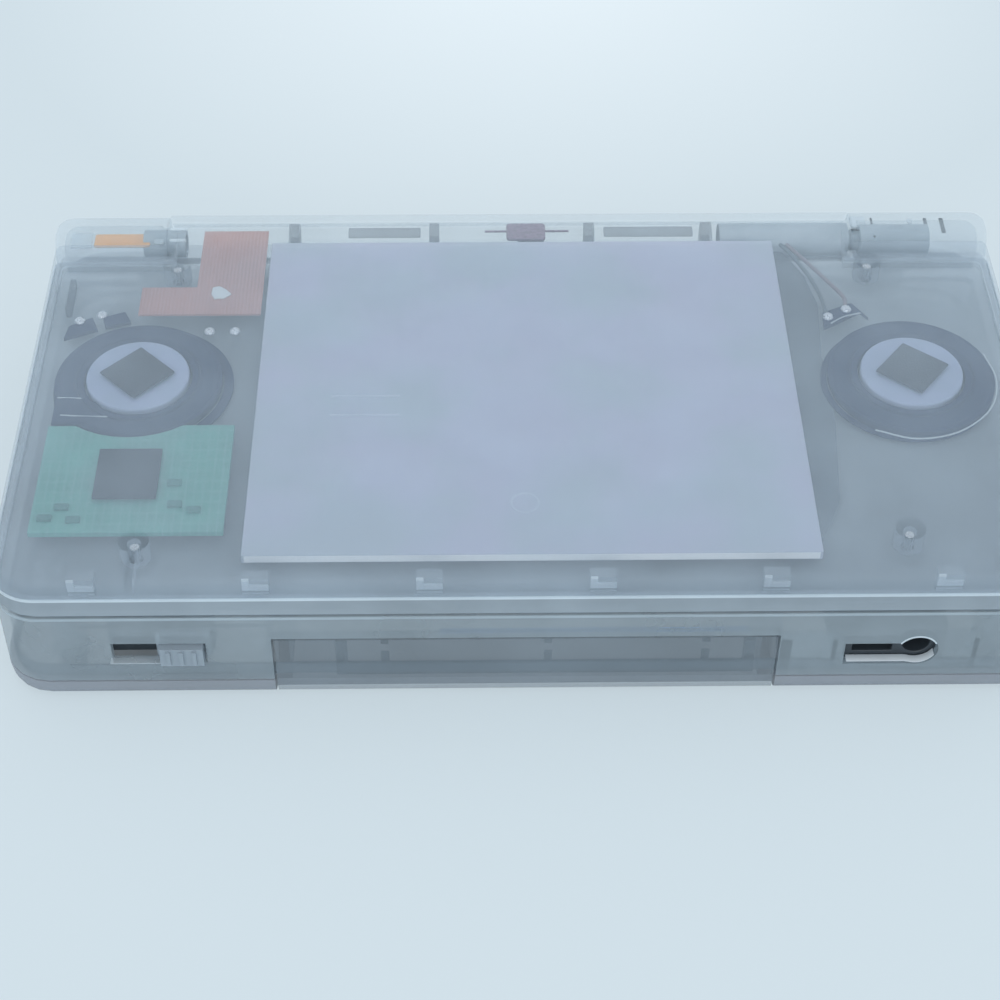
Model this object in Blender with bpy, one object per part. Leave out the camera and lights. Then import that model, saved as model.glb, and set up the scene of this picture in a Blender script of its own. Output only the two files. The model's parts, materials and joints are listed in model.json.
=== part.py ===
"""Clamshell handheld game console, closed, with its lid, controls and hinge as separate pieces.

Lengths are in metres. X runs to the right of the person who holds the console, Y away from them to the
hinge, and Z up from the table. The origin is under the middle of the closed console.
"""

import math

import bmesh
import bpy
from mathutils import Matrix, Vector

MM = 0.001

# Overall
WIDTH = 133.0 * MM
DEPTH = 73.9 * MM
HEIGHT = 21.5 * MM
LID_THICKNESS = 6.25 * MM
CORNER_RADIUS = 6.0 * MM
CLEARANCE = 0.3 * MM
OVERRUN = 1.0 * MM
LEAST_RADIUS = 0.01 * MM
ARC_STEPS = 5
FILLET_STEPS = 3
SMOOTH_ANGLE = math.radians(40.0)

# Base shells
WALL = 1.2 * MM
SEAM_HEIGHT = 3.28 * MM
BASE_EDGE_FILLET = 2.0 * MM
RIM_FILLET = 0.4 * MM
RIM_WIDTH = 2.2 * MM
FACE_RECESS = 0.5 * MM
FACE_BACK_INSET = 9.05 * MM
SEAM_LIP = 0.15 * MM

# Hinge
HINGE_RADIUS = 4.0 * MM
BARREL_LEFT_INSET = 16.1 * MM
BARREL_RIGHT_INSET = 19.5 * MM
BARREL_BORE_RADIUS = 2.9 * MM
HINGE_END_GAP = 0.35 * MM
LID_REAR_GAP = 0.65 * MM
LEFT_EAR_DROP = 0.5 * MM
RIGHT_EAR_DROP = 0.1 * MM
EAR_WALL = 1.1 * MM
REAR_LIP_DROP = 0.85 * MM
REAR_LIP_DEPTH = 2.2 * MM
CARTRIDGE_RADIUS = 2.55 * MM
CARTRIDGE_LENGTH = 18.6 * MM
CARTRIDGE_SOCKET_RADIUS = 1.8 * MM
CARTRIDGE_SOCKET_DEPTH = 3.0 * MM
AXLE_RADIUS = 1.5 * MM
AXLE_HEAD_RADIUS = 2.3 * MM
AXLE_HEAD_LENGTH = 10.0 * MM
BUSH_RADIUS = 2.0 * MM
BUSH_BORE_RADIUS = 1.3 * MM
BUSH_LENGTH = 6.0 * MM
HINGE_SEGMENTS = 28

# Lid shells and what they hold
LID_WALL = 1.15 * MM
LID_FILLET = 2.6 * MM
LID_REAR_RADIUS = 1.0 * MM
LID_SEAM_DROP = 3.4 * MM
BEZEL_RECESS = 0.95 * MM
BEZEL_PLATE = 0.9 * MM
BEZEL_RIM_WIDTH = 2.2 * MM
UPPER_SCREEN_SIDE_MARGIN = 3.5 * MM
UPPER_SCREEN_END_MARGIN = 5.7 * MM
WINDOW_THICKNESS = 0.8 * MM
UPPER_DISPLAY_SPEAKER_GAP = 6.0 * MM
UPPER_DISPLAY_FRONT_INSET = 7.35 * MM
UPPER_DISPLAY_BACK_INSET = 8.15 * MM
UPPER_DISPLAY_THICKNESS = 1.7 * MM
BACK_PLATE_SIDE_MARGIN = 1.2 * MM
BACK_PLATE_END_MARGIN = 1.4 * MM
BACK_PLATE_SHEET = 0.35 * MM
BACK_PLATE_RIM = 1.4 * MM
HOOK_WIDTH = 3.2 * MM
HOOK_THICKNESS = 1.0 * MM
HOOK_HEIGHT = 2.9 * MM
HOOK_GAP = 0.5 * MM
HOOK_LEFT_INSET = 11.7 * MM
HOOK_RIGHT_INSET = 15.8 * MM
HOOK_COUNT = 6
SNAP_TOOTH = 0.6 * MM
BOSS_RADIUS = 1.9 * MM
BOSS_BORE_RADIUS = 0.9 * MM
BOSS_SEAT_RADIUS = 2.5 * MM
LID_REAR_BOSS_INSET_X = 17.8 * MM
LID_REAR_BOSS_INSET_Y = 12.15 * MM
LID_FRONT_LEFT_BOSS_INSET_X = 17.6 * MM
LID_FRONT_LEFT_BOSS_INSET_Y = 7.95 * MM
LID_FRONT_RIGHT_BOSS_INSET_X = 19.7 * MM
LID_FRONT_RIGHT_BOSS_INSET_Y = 9.15 * MM
BOSS_RIB_WIDTH = 1.0 * MM
BOSS_RIB_ROOT = 0.1 * MM
SPEAKER_LEFT_INSET = 14.6 * MM
SPEAKER_RIGHT_INSET = 14.8 * MM
SPEAKER_Y = 2.6 * MM
SPEAKER_RADIUS = 11.2 * MM
SPEAKER_OPENING_RADIUS = 7.2 * MM
SPEAKER_FRAME_HEIGHT = 1.1 * MM
SPEAKER_COLLAR_WIDTH = 0.9 * MM
SPEAKER_SEGMENTS = 40
MAGNET_RADIUS = 6.85 * MM
MAGNET_HEIGHT = 1.9 * MM
PAD_HALF_DIAGONAL = 5.0 * MM
PAD_THICKNESS = 0.35 * MM
RIGHT_PAD_TURN = math.radians(6.5)
GRILLE_HOLE_RADIUS = 0.8 * MM
GRILLE_RING_RADIUS = 3.6 * MM
GRILLE_COUNT = 6
ANTENNA_BOARD_LEFT_INSET = 4.1 * MM
ANTENNA_BOARD_FRONT_INSET = 10.25 * MM
ANTENNA_BOARD_PLATE_GAP = 2.5 * MM
ANTENNA_BOARD_COLLAR_GAP = 1.9 * MM
ANTENNA_BOARD_RING_GAP = 1.0 * MM
ANTENNA_BOARD_LIFT = 1.3 * MM
ANTENNA_BOARD_THICKNESS = 0.8 * MM
CHIP_LEFT_MARGIN = 7.4 * MM
CHIP_FRONT_MARGIN = 5.4 * MM
CHIP_BACK_MARGIN = 5.1 * MM
CHIP_WIDTH = 8.0 * MM
CHIP_THICKNESS = 0.45 * MM
FLEX_THICKNESS = 0.3 * MM
FLEX_PLATE_GAP = 0.6 * MM
FLEX_STRIP_WIDTH = 9.2 * MM
FLEX_ARM_LENGTH = 16.8 * MM
FLEX_ARM_DEPTH = 5.8 * MM
FLEX_BOSS_GAP = 2.5 * MM
MICROPHONE_X = 1.3 * MM
MICROPHONE_RADIUS = 1.9 * MM
MICROPHONE_HEIGHT = 2.2 * MM
MICROPHONE_HOLE_RADIUS = 0.6 * MM
LID_SCREW_HEAD_RADIUS = 1.5 * MM
LID_SCREW_HEAD_HEIGHT = 0.8 * MM
SCREW_SHAFT_RADIUS = 0.6 * MM
LID_SCREW_LENGTH = 3.2 * MM
CROSS_ARM_SHARE = 0.125
SCREW_SEGMENTS = 12
BORE_SEGMENTS = 12

# Cartridge bay at the front
COVER_SLOT_GAP = 8.4 * MM
COVER_JACK_GAP = 8.8 * MM
COVER_HEIGHT = 10.7 * MM
COVER_THICKNESS = 1.5 * MM
COVER_ARM_WIDTH = 1.4 * MM
COVER_ARM_LENGTH = 14.0 * MM
COVER_ARM_BOTTOM_Z = 1.7 * MM
COVER_ARM_TOP_Z = 9.1 * MM
BAY_RIB_WIDTH = 1.0 * MM
BAY_STYLUS_GAP = 3.0 * MM
CONNECTOR_DEPTH = 4.6 * MM
CONNECTOR_MARGIN = 3.2 * MM
CONNECTOR_SLOT_DEPTH = 3.0 * MM
CONNECTOR_SLOT_HEIGHT = 1.8 * MM

# Boards, displays and battery in the base
BOARD_THICKNESS = 1.0 * MM
BOARD_SIDE_INSET = 4.5 * MM
BOARD_FRONT_INSET = 8.75 * MM
BOARD_BACK_INSET = 9.45 * MM
BOARD_TRIM_INSET_X = 12.0 * MM
BOARD_TRIM_INSET_Y = 17.15 * MM
LOWER_SCREEN_SIDE_MARGIN = 2.5 * MM
LOWER_SCREEN_END_MARGIN = 2.25 * MM
LOWER_DISPLAY_MEMBRANE_GAP = 4.7 * MM
LOWER_DISPLAY_FRONT_INSET = 14.45 * MM
LOWER_DISPLAY_BACK_INSET = 8.95 * MM
LOWER_DISPLAY_THICKNESS = 2.3 * MM
TOUCH_PANEL_MARGIN = 1.8 * MM
TOUCH_PANEL_THICKNESS = 0.85 * MM
BATTERY_LEFT_INSET = 5.5 * MM
BATTERY_FRONT_INSET = 12.95 * MM
BATTERY_BACK_INSET = 19.95 * MM
BATTERY_RIB_GAP = 0.7 * MM
BATTERY_TOP_GAP = 1.1 * MM
BATTERY_EDGE = 1.2 * MM
BATTERY_COVER_MARGIN = 1.4 * MM
BATTERY_COVER_TAB = 6.0 * MM
COVER_CORNER = 1.8 * MM
COVER_SCREW_INSET = 3.2 * MM
SCREW_HEAD_RADIUS = 1.7 * MM
SCREW_HEAD_HEIGHT = 0.9 * MM
SCREW_HEAD_SINK = 0.4 * MM
BASE_SCREW_LENGTH = 7.0 * MM
COVER_SCREW_LENGTH = 2.4 * MM
BASE_BOSS_RADIUS = 2.2 * MM
BASE_BOSS_GAP = 0.3 * MM
BASE_BOSS_INSET_X = 8.0 * MM
BASE_FRONT_BOSS_INSET_Y = 5.95 * MM
BASE_REAR_BOSS_INSET_Y = 10.95 * MM

# Sockets
CARD_WIDTH = 34.0 * MM
CARD_HEIGHT = 4.0 * MM
CARD_SLOT_STYLUS_GAP = 2.5 * MM
CARD_SLOT_WALL = 0.35 * MM
CARD_SLOT_BACK_WALL = 1.5 * MM
JACK_INSET = 18.5 * MM
JACK_Z = 8.0 * MM
JACK_BORE_RADIUS = 1.75 * MM
JACK_BORE_DEPTH = 12.0 * MM
JACK_NOSE_RADIUS = 2.3 * MM
JACK_SLOT_LENGTH = 8.8 * MM
JACK_SLOT_HEIGHT = 3.2 * MM
JACK_SLOT_Z = 7.4 * MM
JACK_CONTACT_WIDTH = 5.0 * MM
JACK_CONTACT_HEIGHT = 1.8 * MM
JACK_CONTACT_DEPTH = 3.5 * MM
JACK_BODY_MARGIN = 1.4 * MM
JACK_NOSE_RECESS = 1.3 * MM
JACK_BODY_DEPTH = 13.0 * MM
CHARGE_CARD_GAP = 9.65 * MM
CHARGE_Z = 5.8 * MM
CHARGE_WIDTH = 7.6 * MM
CHARGE_HEIGHT = 4.2 * MM
CHARGE_DEPTH = 7.2 * MM
CHARGE_MOUTH_WIDTH = 5.4 * MM
CHARGE_MOUTH_HEIGHT = 2.2 * MM
CHARGE_MOUTH_DEPTH = 5.0 * MM

# Sliders
VOLUME_SLOT_INSET = 14.4 * MM
VOLUME_SLOT_WIDTH = 11.7 * MM
VOLUME_SLOT_BOTTOM_Z = 6.7 * MM
VOLUME_SLOT_HEIGHT = 3.6 * MM
VOLUME_KNOB_WIDTH = 5.4 * MM
VOLUME_KNOB_STAND = 0.8 * MM
VOLUME_FLANGE = 0.7 * MM
VOLUME_RIDGE_COUNT = 3
VOLUME_RIDGE_PITCH = 1.6 * MM
VOLUME_RIDGE_WIDTH = 0.5 * MM
VOLUME_RIDGE_HEIGHT = 0.3 * MM
VOLUME_SWITCH_DEPTH = 2.4 * MM
SLIDER_FLANGE_THICKNESS = 0.7 * MM
POWER_Y = -13.0 * MM
POWER_LIFT = 1.5 * MM
POWER_SLOT_DEPTH = 9.0 * MM
POWER_SLOT_HEIGHT = 2.6 * MM
POWER_KNOB_DEPTH = 6.0 * MM
POWER_FLANGE = 0.6 * MM
POWER_SWITCH_WIDTH = 4.0 * MM
POWER_SWITCH_DEPTH = 9.0 * MM
POWER_SWITCH_HEIGHT = 2.6 * MM

# Triggers
TRIGGER_INNER_INSET = 15.0 * MM
TRIGGER_FRONT_INSET = 6.95 * MM
TRIGGER_BOTTOM_Z = 5.8 * MM
TRIGGER_SKIN = 1.5 * MM
TRIGGER_FRONT_GAP = 1.1 * MM
TRIGGER_PIVOT_INSET_X = 12.6 * MM
TRIGGER_PIVOT_INSET_Y = 4.0 * MM
TRIGGER_BOSS_RADIUS = 2.1 * MM
TRIGGER_WEB = 1.6 * MM
PIN_RADIUS = 0.6 * MM
PIN_BORE_RADIUS = 0.9 * MM
PIN_BOTTOM_Z = 4.3 * MM
PIN_SINK = 0.6 * MM
BRACKET_BOTTOM_Z = 3.9 * MM
BRACKET_HALF_WIDTH = 2.6 * MM
BRACKET_DEPTH = 3.0 * MM
SPRING_RADIUS = 1.25 * MM
SPRING_WIRE_RADIUS = 0.22 * MM
SPRING_PITCH = 0.55 * MM
SPRING_TURNS = 4
SPRING_POINTS = 8

# Controls on the base's face
MEMBRANE_THICKNESS = 0.7 * MM
MEMBRANE_RADIUS = 12.3 * MM
MEMBRANE_SEGMENTS = 32
DOME_HEIGHT = 0.25 * MM
DOME_RADIUS = 2.0 * MM
CONTROL_Y = 3.0 * MM
CONTROL_SIDE_INSET = 16.0 * MM
DPAD_SPAN = 21.0 * MM
DPAD_ARM = 6.8 * MM
DPAD_FLANGE_RADIUS = 9.3 * MM
DPAD_FLANGE_THICKNESS = 0.8 * MM
DPAD_HOLE_GAP = 0.5 * MM
DPAD_FLANGE_DROP = 1.95 * MM
DPAD_DOME_RADIUS_AT = 7.0 * MM
PIVOT_RADIUS = 2.2 * MM
PIVOT_HEIGHT = 1.4 * MM
PIVOT_AXIS_HEIGHT = 0.3 * MM
CONTROL_STAND = 0.75 * MM
BUTTON_REACH = 8.2 * MM
BUTTON_RADIUS = 3.4 * MM
BUTTON_FLANGE = 0.8 * MM
BUTTON_FLANGE_DROP = 1.75 * MM
BUTTON_CROWN = 0.3 * MM
SMALL_BUTTON_INSET = 25.0 * MM
SMALL_BUTTON_RADIUS = 1.9 * MM
START_FRONT_INSET = 24.35 * MM
SELECT_FRONT_INSET = 18.55 * MM
MEMBRANE_TAIL_WIDTH = 6.4 * MM
MEMBRANE_TAIL_MARGIN = 2.8 * MM
BUTTON_SEGMENTS = 24

# Stylus
STYLUS_BATTERY_GAP = 12.5 * MM
STYLUS_RADIUS = 2.45 * MM
STYLUS_Y = -2.5 * MM
STYLUS_Z = 5.2 * MM
STYLUS_TIP_LENGTH = 7.0 * MM
STYLUS_TIP_RADIUS = 0.7 * MM
STYLUS_NECK_RADIUS = 0.98 * MM
STYLUS_HEAD_INSET = 0.3 * MM
STYLUS_SEGMENTS = 20

HALF_WIDTH = WIDTH / 2
HALF_DEPTH = DEPTH / 2
LID_BOTTOM = HEIGHT - LID_THICKNESS
BASE_TOP = LID_BOTTOM - CLEARANCE
BASE_FACE = BASE_TOP - FACE_RECESS
TOP_UNDERSIDE = BASE_FACE - WALL
FACE_BACK_Y = HALF_DEPTH - FACE_BACK_INSET
INNER_FRONT_Y = -HALF_DEPTH + WALL
INNER_BACK_Y = HALF_DEPTH - WALL

HINGE_Y = HALF_DEPTH - HINGE_RADIUS
HINGE_Z = HEIGHT - HINGE_RADIUS
TROUGH_RADIUS = HINGE_RADIUS + HINGE_END_GAP
BARREL_LEFT_X = -HALF_WIDTH + BARREL_LEFT_INSET
BARREL_RIGHT_X = HALF_WIDTH - BARREL_RIGHT_INSET
LID_REAR_Y = HINGE_Y - HINGE_RADIUS - LID_REAR_GAP
LID_CEILING = HEIGHT - LID_WALL
LID_SEAM_HEIGHT = HEIGHT - LID_SEAM_DROP
BEZEL_FACE = LID_BOTTOM + BEZEL_RECESS
BEZEL_TOP = BEZEL_FACE + BEZEL_PLATE
LID_FLOOR = BEZEL_TOP + CLEARANCE
HOOK_FIRST_X = -HALF_WIDTH + HOOK_LEFT_INSET
HOOK_PITCH = (WIDTH - HOOK_LEFT_INSET - HOOK_RIGHT_INSET) / (HOOK_COUNT - 1)
LID_REAR_BOSS_X = HALF_WIDTH - LID_REAR_BOSS_INSET_X
LID_REAR_BOSS_Y = HALF_DEPTH - LID_REAR_BOSS_INSET_Y
LID_BOSS_PLACES = (
    ("rear_left", -LID_REAR_BOSS_X, LID_REAR_BOSS_Y),
    ("rear_right", LID_REAR_BOSS_X, LID_REAR_BOSS_Y),
    ("front_left", -HALF_WIDTH + LID_FRONT_LEFT_BOSS_INSET_X, -HALF_DEPTH + LID_FRONT_LEFT_BOSS_INSET_Y),
    ("front_right", HALF_WIDTH - LID_FRONT_RIGHT_BOSS_INSET_X, -HALF_DEPTH + LID_FRONT_RIGHT_BOSS_INSET_Y),
)
SPEAKER_LEFT_X = -HALF_WIDTH + SPEAKER_LEFT_INSET
SPEAKER_RIGHT_X = HALF_WIDTH - SPEAKER_RIGHT_INSET
UPPER_DISPLAY_WIDTH = (SPEAKER_RIGHT_X - SPEAKER_RADIUS - UPPER_DISPLAY_SPEAKER_GAP) * 2
UPPER_DISPLAY_DEPTH = DEPTH - UPPER_DISPLAY_FRONT_INSET - UPPER_DISPLAY_BACK_INSET
UPPER_SCREEN_WIDTH = UPPER_DISPLAY_WIDTH - UPPER_SCREEN_SIDE_MARGIN * 2
UPPER_SCREEN_DEPTH = UPPER_DISPLAY_DEPTH - UPPER_SCREEN_END_MARGIN * 2
UPPER_SCREEN_Y = (UPPER_DISPLAY_FRONT_INSET - UPPER_DISPLAY_BACK_INSET) / 2
BACK_PLATE_WIDTH = UPPER_DISPLAY_WIDTH + BACK_PLATE_SIDE_MARGIN * 2
BACK_PLATE_DEPTH = UPPER_DISPLAY_DEPTH + BACK_PLATE_END_MARGIN * 2
FLEX_RIGHT_X = -BACK_PLATE_WIDTH / 2 - FLEX_PLATE_GAP
FLEX_ARM_BACK_Y = LID_REAR_BOSS_Y - BOSS_RADIUS - FLEX_BOSS_GAP
ANTENNA_BOARD_LEFT_X = -HALF_WIDTH + ANTENNA_BOARD_LEFT_INSET
ANTENNA_BOARD_RIGHT_X = -BACK_PLATE_WIDTH / 2 - ANTENNA_BOARD_PLATE_GAP
ANTENNA_BOARD_FRONT_Y = -HALF_DEPTH + ANTENNA_BOARD_FRONT_INSET
SPEAKER_COLLAR_RADIUS = SPEAKER_OPENING_RADIUS + SPEAKER_COLLAR_WIDTH
ANTENNA_BOARD_BACK_Y = SPEAKER_Y - SPEAKER_COLLAR_RADIUS - ANTENNA_BOARD_COLLAR_GAP

STYLUS_FRONT_Y = STYLUS_Y - STYLUS_RADIUS
STYLUS_BACK_Y = STYLUS_Y + STYLUS_RADIUS
VOLUME_SLOT_LEFT_X = -HALF_WIDTH + VOLUME_SLOT_INSET
VOLUME_SLOT_RIGHT_X = VOLUME_SLOT_LEFT_X + VOLUME_SLOT_WIDTH
JACK_X = HALF_WIDTH - JACK_INSET
JACK_LEFT_X = JACK_X - JACK_SLOT_LENGTH
COVER_LEFT_X = VOLUME_SLOT_RIGHT_X + COVER_SLOT_GAP
COVER_RIGHT_X = JACK_LEFT_X - COVER_JACK_GAP
COVER_WIDTH = COVER_RIGHT_X - COVER_LEFT_X
BAY_X = (COVER_LEFT_X + COVER_RIGHT_X) / 2
BAY_BACK_Y = STYLUS_FRONT_Y - BAY_STYLUS_GAP

TOUCH_PANEL_TOP_Z = TOP_UNDERSIDE - CLEARANCE
LOWER_DISPLAY_TOP_Z = TOUCH_PANEL_TOP_Z - TOUCH_PANEL_THICKNESS - CLEARANCE
ON_BOARD_Z = LOWER_DISPLAY_TOP_Z - LOWER_DISPLAY_THICKNESS
BOARD_TOP_Z = ON_BOARD_Z - CLEARANCE
BOARD_BOTTOM_Z = BOARD_TOP_Z - BOARD_THICKNESS
BOARD_HALF_WIDTH = HALF_WIDTH - BOARD_SIDE_INSET
BOARD_FRONT_Y = -HALF_DEPTH + BOARD_FRONT_INSET
BOARD_BACK_Y = HALF_DEPTH - BOARD_BACK_INSET
BOARD_TRIM_X = HALF_WIDTH - BOARD_TRIM_INSET_X
BOARD_TRIM_Y = HALF_DEPTH - BOARD_TRIM_INSET_Y
DPAD_X = -HALF_WIDTH + CONTROL_SIDE_INSET
BUTTON_CLUSTER_X = HALF_WIDTH - CONTROL_SIDE_INSET
SMALL_BUTTON_X = HALF_WIDTH - SMALL_BUTTON_INSET
START_Y = -HALF_DEPTH + START_FRONT_INSET
SELECT_Y = -HALF_DEPTH + SELECT_FRONT_INSET
DPAD_BOTTOM_Z = TOP_UNDERSIDE - DPAD_FLANGE_DROP
BUTTON_FLANGE_BOTTOM_Z = TOP_UNDERSIDE - BUTTON_FLANGE_DROP
POWER_Z = ON_BOARD_Z + POWER_LIFT
LOWER_DISPLAY_WIDTH = (BUTTON_CLUSTER_X - MEMBRANE_RADIUS - LOWER_DISPLAY_MEMBRANE_GAP) * 2
LOWER_DISPLAY_DEPTH = DEPTH - LOWER_DISPLAY_FRONT_INSET - LOWER_DISPLAY_BACK_INSET
LOWER_SCREEN_WIDTH = LOWER_DISPLAY_WIDTH - LOWER_SCREEN_SIDE_MARGIN * 2
LOWER_SCREEN_DEPTH = LOWER_DISPLAY_DEPTH - LOWER_SCREEN_END_MARGIN * 2
LOWER_SCREEN_Y = (LOWER_DISPLAY_FRONT_INSET - LOWER_DISPLAY_BACK_INSET) / 2
BATTERY_LEFT_X = -HALF_WIDTH + BATTERY_LEFT_INSET
BATTERY_RIGHT_X = COVER_LEFT_X - CLEARANCE - BAY_RIB_WIDTH - BATTERY_RIB_GAP
BATTERY_FRONT_Y = -HALF_DEPTH + BATTERY_FRONT_INSET
BATTERY_BACK_Y = HALF_DEPTH - BATTERY_BACK_INSET
BATTERY_X = (BATTERY_LEFT_X + BATTERY_RIGHT_X) / 2
BASE_BOSS_X = HALF_WIDTH - BASE_BOSS_INSET_X
BASE_BOSS_PLACES = (
    ("front_left", -BASE_BOSS_X, -HALF_DEPTH + BASE_FRONT_BOSS_INSET_Y),
    ("front_right", BASE_BOSS_X, -HALF_DEPTH + BASE_FRONT_BOSS_INSET_Y),
    ("rear_left", -BASE_BOSS_X, HALF_DEPTH - BASE_REAR_BOSS_INSET_Y),
    ("rear_right", BASE_BOSS_X, HALF_DEPTH - BASE_REAR_BOSS_INSET_Y),
)
CARD_BOTTOM_Z = BOARD_BOTTOM_Z - CLEARANCE - CARD_HEIGHT - CARD_SLOT_WALL * 2
CHARGE_X = CARD_WIDTH / 2 + CARD_SLOT_WALL + CHARGE_CARD_GAP + CHARGE_WIDTH / 2
TRIGGER_TOP_Z = TOP_UNDERSIDE - CLEARANCE
TRIGGER_INNER_X = HALF_WIDTH - TRIGGER_INNER_INSET
TRIGGER_FRONT_Y = HALF_DEPTH - TRIGGER_FRONT_INSET
TRIGGER_PIVOT_X = HALF_WIDTH - TRIGGER_PIVOT_INSET_X
TRIGGER_PIVOT_Y = HALF_DEPTH - TRIGGER_PIVOT_INSET_Y


def material(name, colour, roughness, metallic=0.0):
    """A Principled BSDF with one colour, roughness and metallic value."""
    made = bpy.data.materials.new(name)
    made.use_nodes = True
    shader = made.node_tree.nodes["Principled BSDF"]
    shader.inputs["Base Color"].default_value = (*colour, 1.0)
    shader.inputs["Roughness"].default_value = roughness
    shader.inputs["Metallic"].default_value = metallic
    made.diffuse_color = (*colour, 1.0)
    return made


def solid_object(name, bm):
    """A new object from a bmesh, with its faces pointing out."""
    bmesh.ops.recalc_face_normals(bm, faces=bm.faces)
    mesh = bpy.data.meshes.new(name)
    bm.to_mesh(mesh)
    bm.free()
    made = bpy.data.objects.new(name, mesh)
    bpy.context.scene.collection.objects.link(made)
    return made


def loft(name, rings):
    """A closed solid through rings of points of equal count, capped at both ends."""
    bm = bmesh.new()
    loops = [[bm.verts.new(point) for point in ring] for ring in rings]
    bm.faces.new(loops[0])
    for lower, upper in zip(loops, loops[1:]):
        for i in range(len(lower)):
            j = (i + 1) % len(lower)
            bm.faces.new((lower[i], lower[j], upper[j], upper[i]))
    bm.faces.new(loops[-1])
    return solid_object(name, bm)


def rounded_outline(low, high, radii):
    """Corners of a rectangle, each an arc: front left, front right, back right, back left."""
    corners = (
        (low[0] + radii[0], low[1] + radii[0]),
        (high[0] - radii[1], low[1] + radii[1]),
        (high[0] - radii[2], high[1] - radii[2]),
        (low[0] + radii[3], high[1] - radii[3]),
    )
    points = []
    for quarter, (centre, radius) in enumerate(zip(corners, radii)):
        for step in range(ARC_STEPS + 1):
            angle = math.pi * (1 + quarter / 2) + math.pi / 2 * step / ARC_STEPS
            x = centre[0] + radius * math.cos(angle)
            y = centre[1] + radius * math.sin(angle)
            points.append((x, y))
    return points


def slab(name, low, high, radii, low_fillet=0.0, high_fillet=0.0):
    """A rectangular plate with rounded corners and, where a fillet is given, rounded lower or upper edges."""
    levels = []
    if low_fillet:
        for step in range(FILLET_STEPS + 1):
            angle = math.pi / 2 * step / FILLET_STEPS
            levels.append((low[2] + low_fillet * (1 - math.cos(angle)), low_fillet * (1 - math.sin(angle))))
    else:
        levels.append((low[2], 0.0))
    if high_fillet:
        for step in range(FILLET_STEPS + 1):
            angle = math.pi / 2 * (1 - step / FILLET_STEPS)
            drop = high_fillet * (1 - math.cos(angle))
            levels.append((high[2] - drop, high_fillet * (1 - math.sin(angle))))
    else:
        levels.append((high[2], 0.0))
    least = min(radius for radius in radii)
    rings = []
    for z, inset in levels:
        if inset > least:
            inset = least - LEAST_RADIUS
        inner = [max(radius - inset, LEAST_RADIUS) for radius in radii]
        outline = rounded_outline((low[0] + inset, low[1] + inset), (high[0] - inset, high[1] - inset), inner)
        rings.append([(x, y, z) for x, y in outline])
    return loft(name, rings)


def block(name, low, high):
    """A plain box between two corners."""
    outline = [(low[0], low[1]), (high[0], low[1]), (high[0], high[1]), (low[0], high[1])]
    return loft(name, [[(x, y, z) for x, y in outline] for z in (low[2], high[2])])


def prism(name, outline, start, end, axis="Z"):
    """An outline extruded along an axis. The outline's points are the other two axes, in X, Y, Z order."""
    place = {
        "X": lambda a, b, along: (along, a, b),
        "Y": lambda a, b, along: (a, along, b),
        "Z": lambda a, b, along: (a, b, along),
    }[axis]
    return loft(name, [[place(a, b, along) for a, b in outline] for along in (start, end)])


def circle(centre, radius, segments, turn=0.0):
    """Points of a circle in the outline's plane, the first of them at the angle turn."""
    angles = (turn + 2 * math.pi * i / segments for i in range(segments))
    return [(centre[0] + radius * math.cos(angle), centre[1] + radius * math.sin(angle)) for angle in angles]


def disc(name, centre, radius, start, end, axis="Z", segments=BUTTON_SEGMENTS):
    """A cylinder along an axis, from start to end."""
    return prism(name, circle(centre, radius, segments), start, end, axis)


def combine(target, tools, operation):
    """Joins tools to the target, cuts them away or keeps what they share, and removes them."""
    for tool in tools:
        modifier = target.modifiers.new(operation, "BOOLEAN")
        modifier.operation = operation
        modifier.solver = "EXACT"
        modifier.object = tool
    bpy.context.view_layer.update()
    evaluated = target.evaluated_get(bpy.context.evaluated_depsgraph_get())
    mesh = bpy.data.meshes.new_from_object(evaluated)
    target.modifiers.clear()
    target.data = mesh
    for tool in tools:
        bpy.data.objects.remove(tool)
    return target


def join(target, *tools):
    """Adds solids to the target."""
    return combine(target, tools, "UNION")


def cut(target, *tools):
    """Takes solids away from the target."""
    return combine(target, tools, "DIFFERENCE")


def keep(target, *tools):
    """Leaves only what the target shares with the solids."""
    return combine(target, tools, "INTERSECT")


def finish(target, finish_material, pivot=None):
    """Gives a piece its material and shading, and puts its origin on its joint's axis."""
    target.data.materials.clear()
    target.data.materials.append(finish_material)
    target.data.shade_smooth()
    target.data.set_sharp_from_angle(angle=SMOOTH_ANGLE)
    if pivot is not None:
        target.data.transform(Matrix.Translation(-Vector(pivot)))
        target.location = pivot
    return target


def ear_outline(drop, inset):
    """The ear's section across the hinge axis: a half ellipse over a straight foot."""
    half_depth = HINGE_RADIUS - inset
    rise = HINGE_RADIUS - drop - inset
    foot = BASE_FACE if inset else TOP_UNDERSIDE
    points = [(HINGE_Y - half_depth, foot)]
    for step in range(HINGE_SEGMENTS // 2 + 1):
        angle = math.pi * (1 - step / (HINGE_SEGMENTS // 2))
        points.append((HINGE_Y + half_depth * math.cos(angle), HINGE_Z + rise * math.sin(angle)))
    points.append((HINGE_Y + half_depth, foot))
    return points


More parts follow.
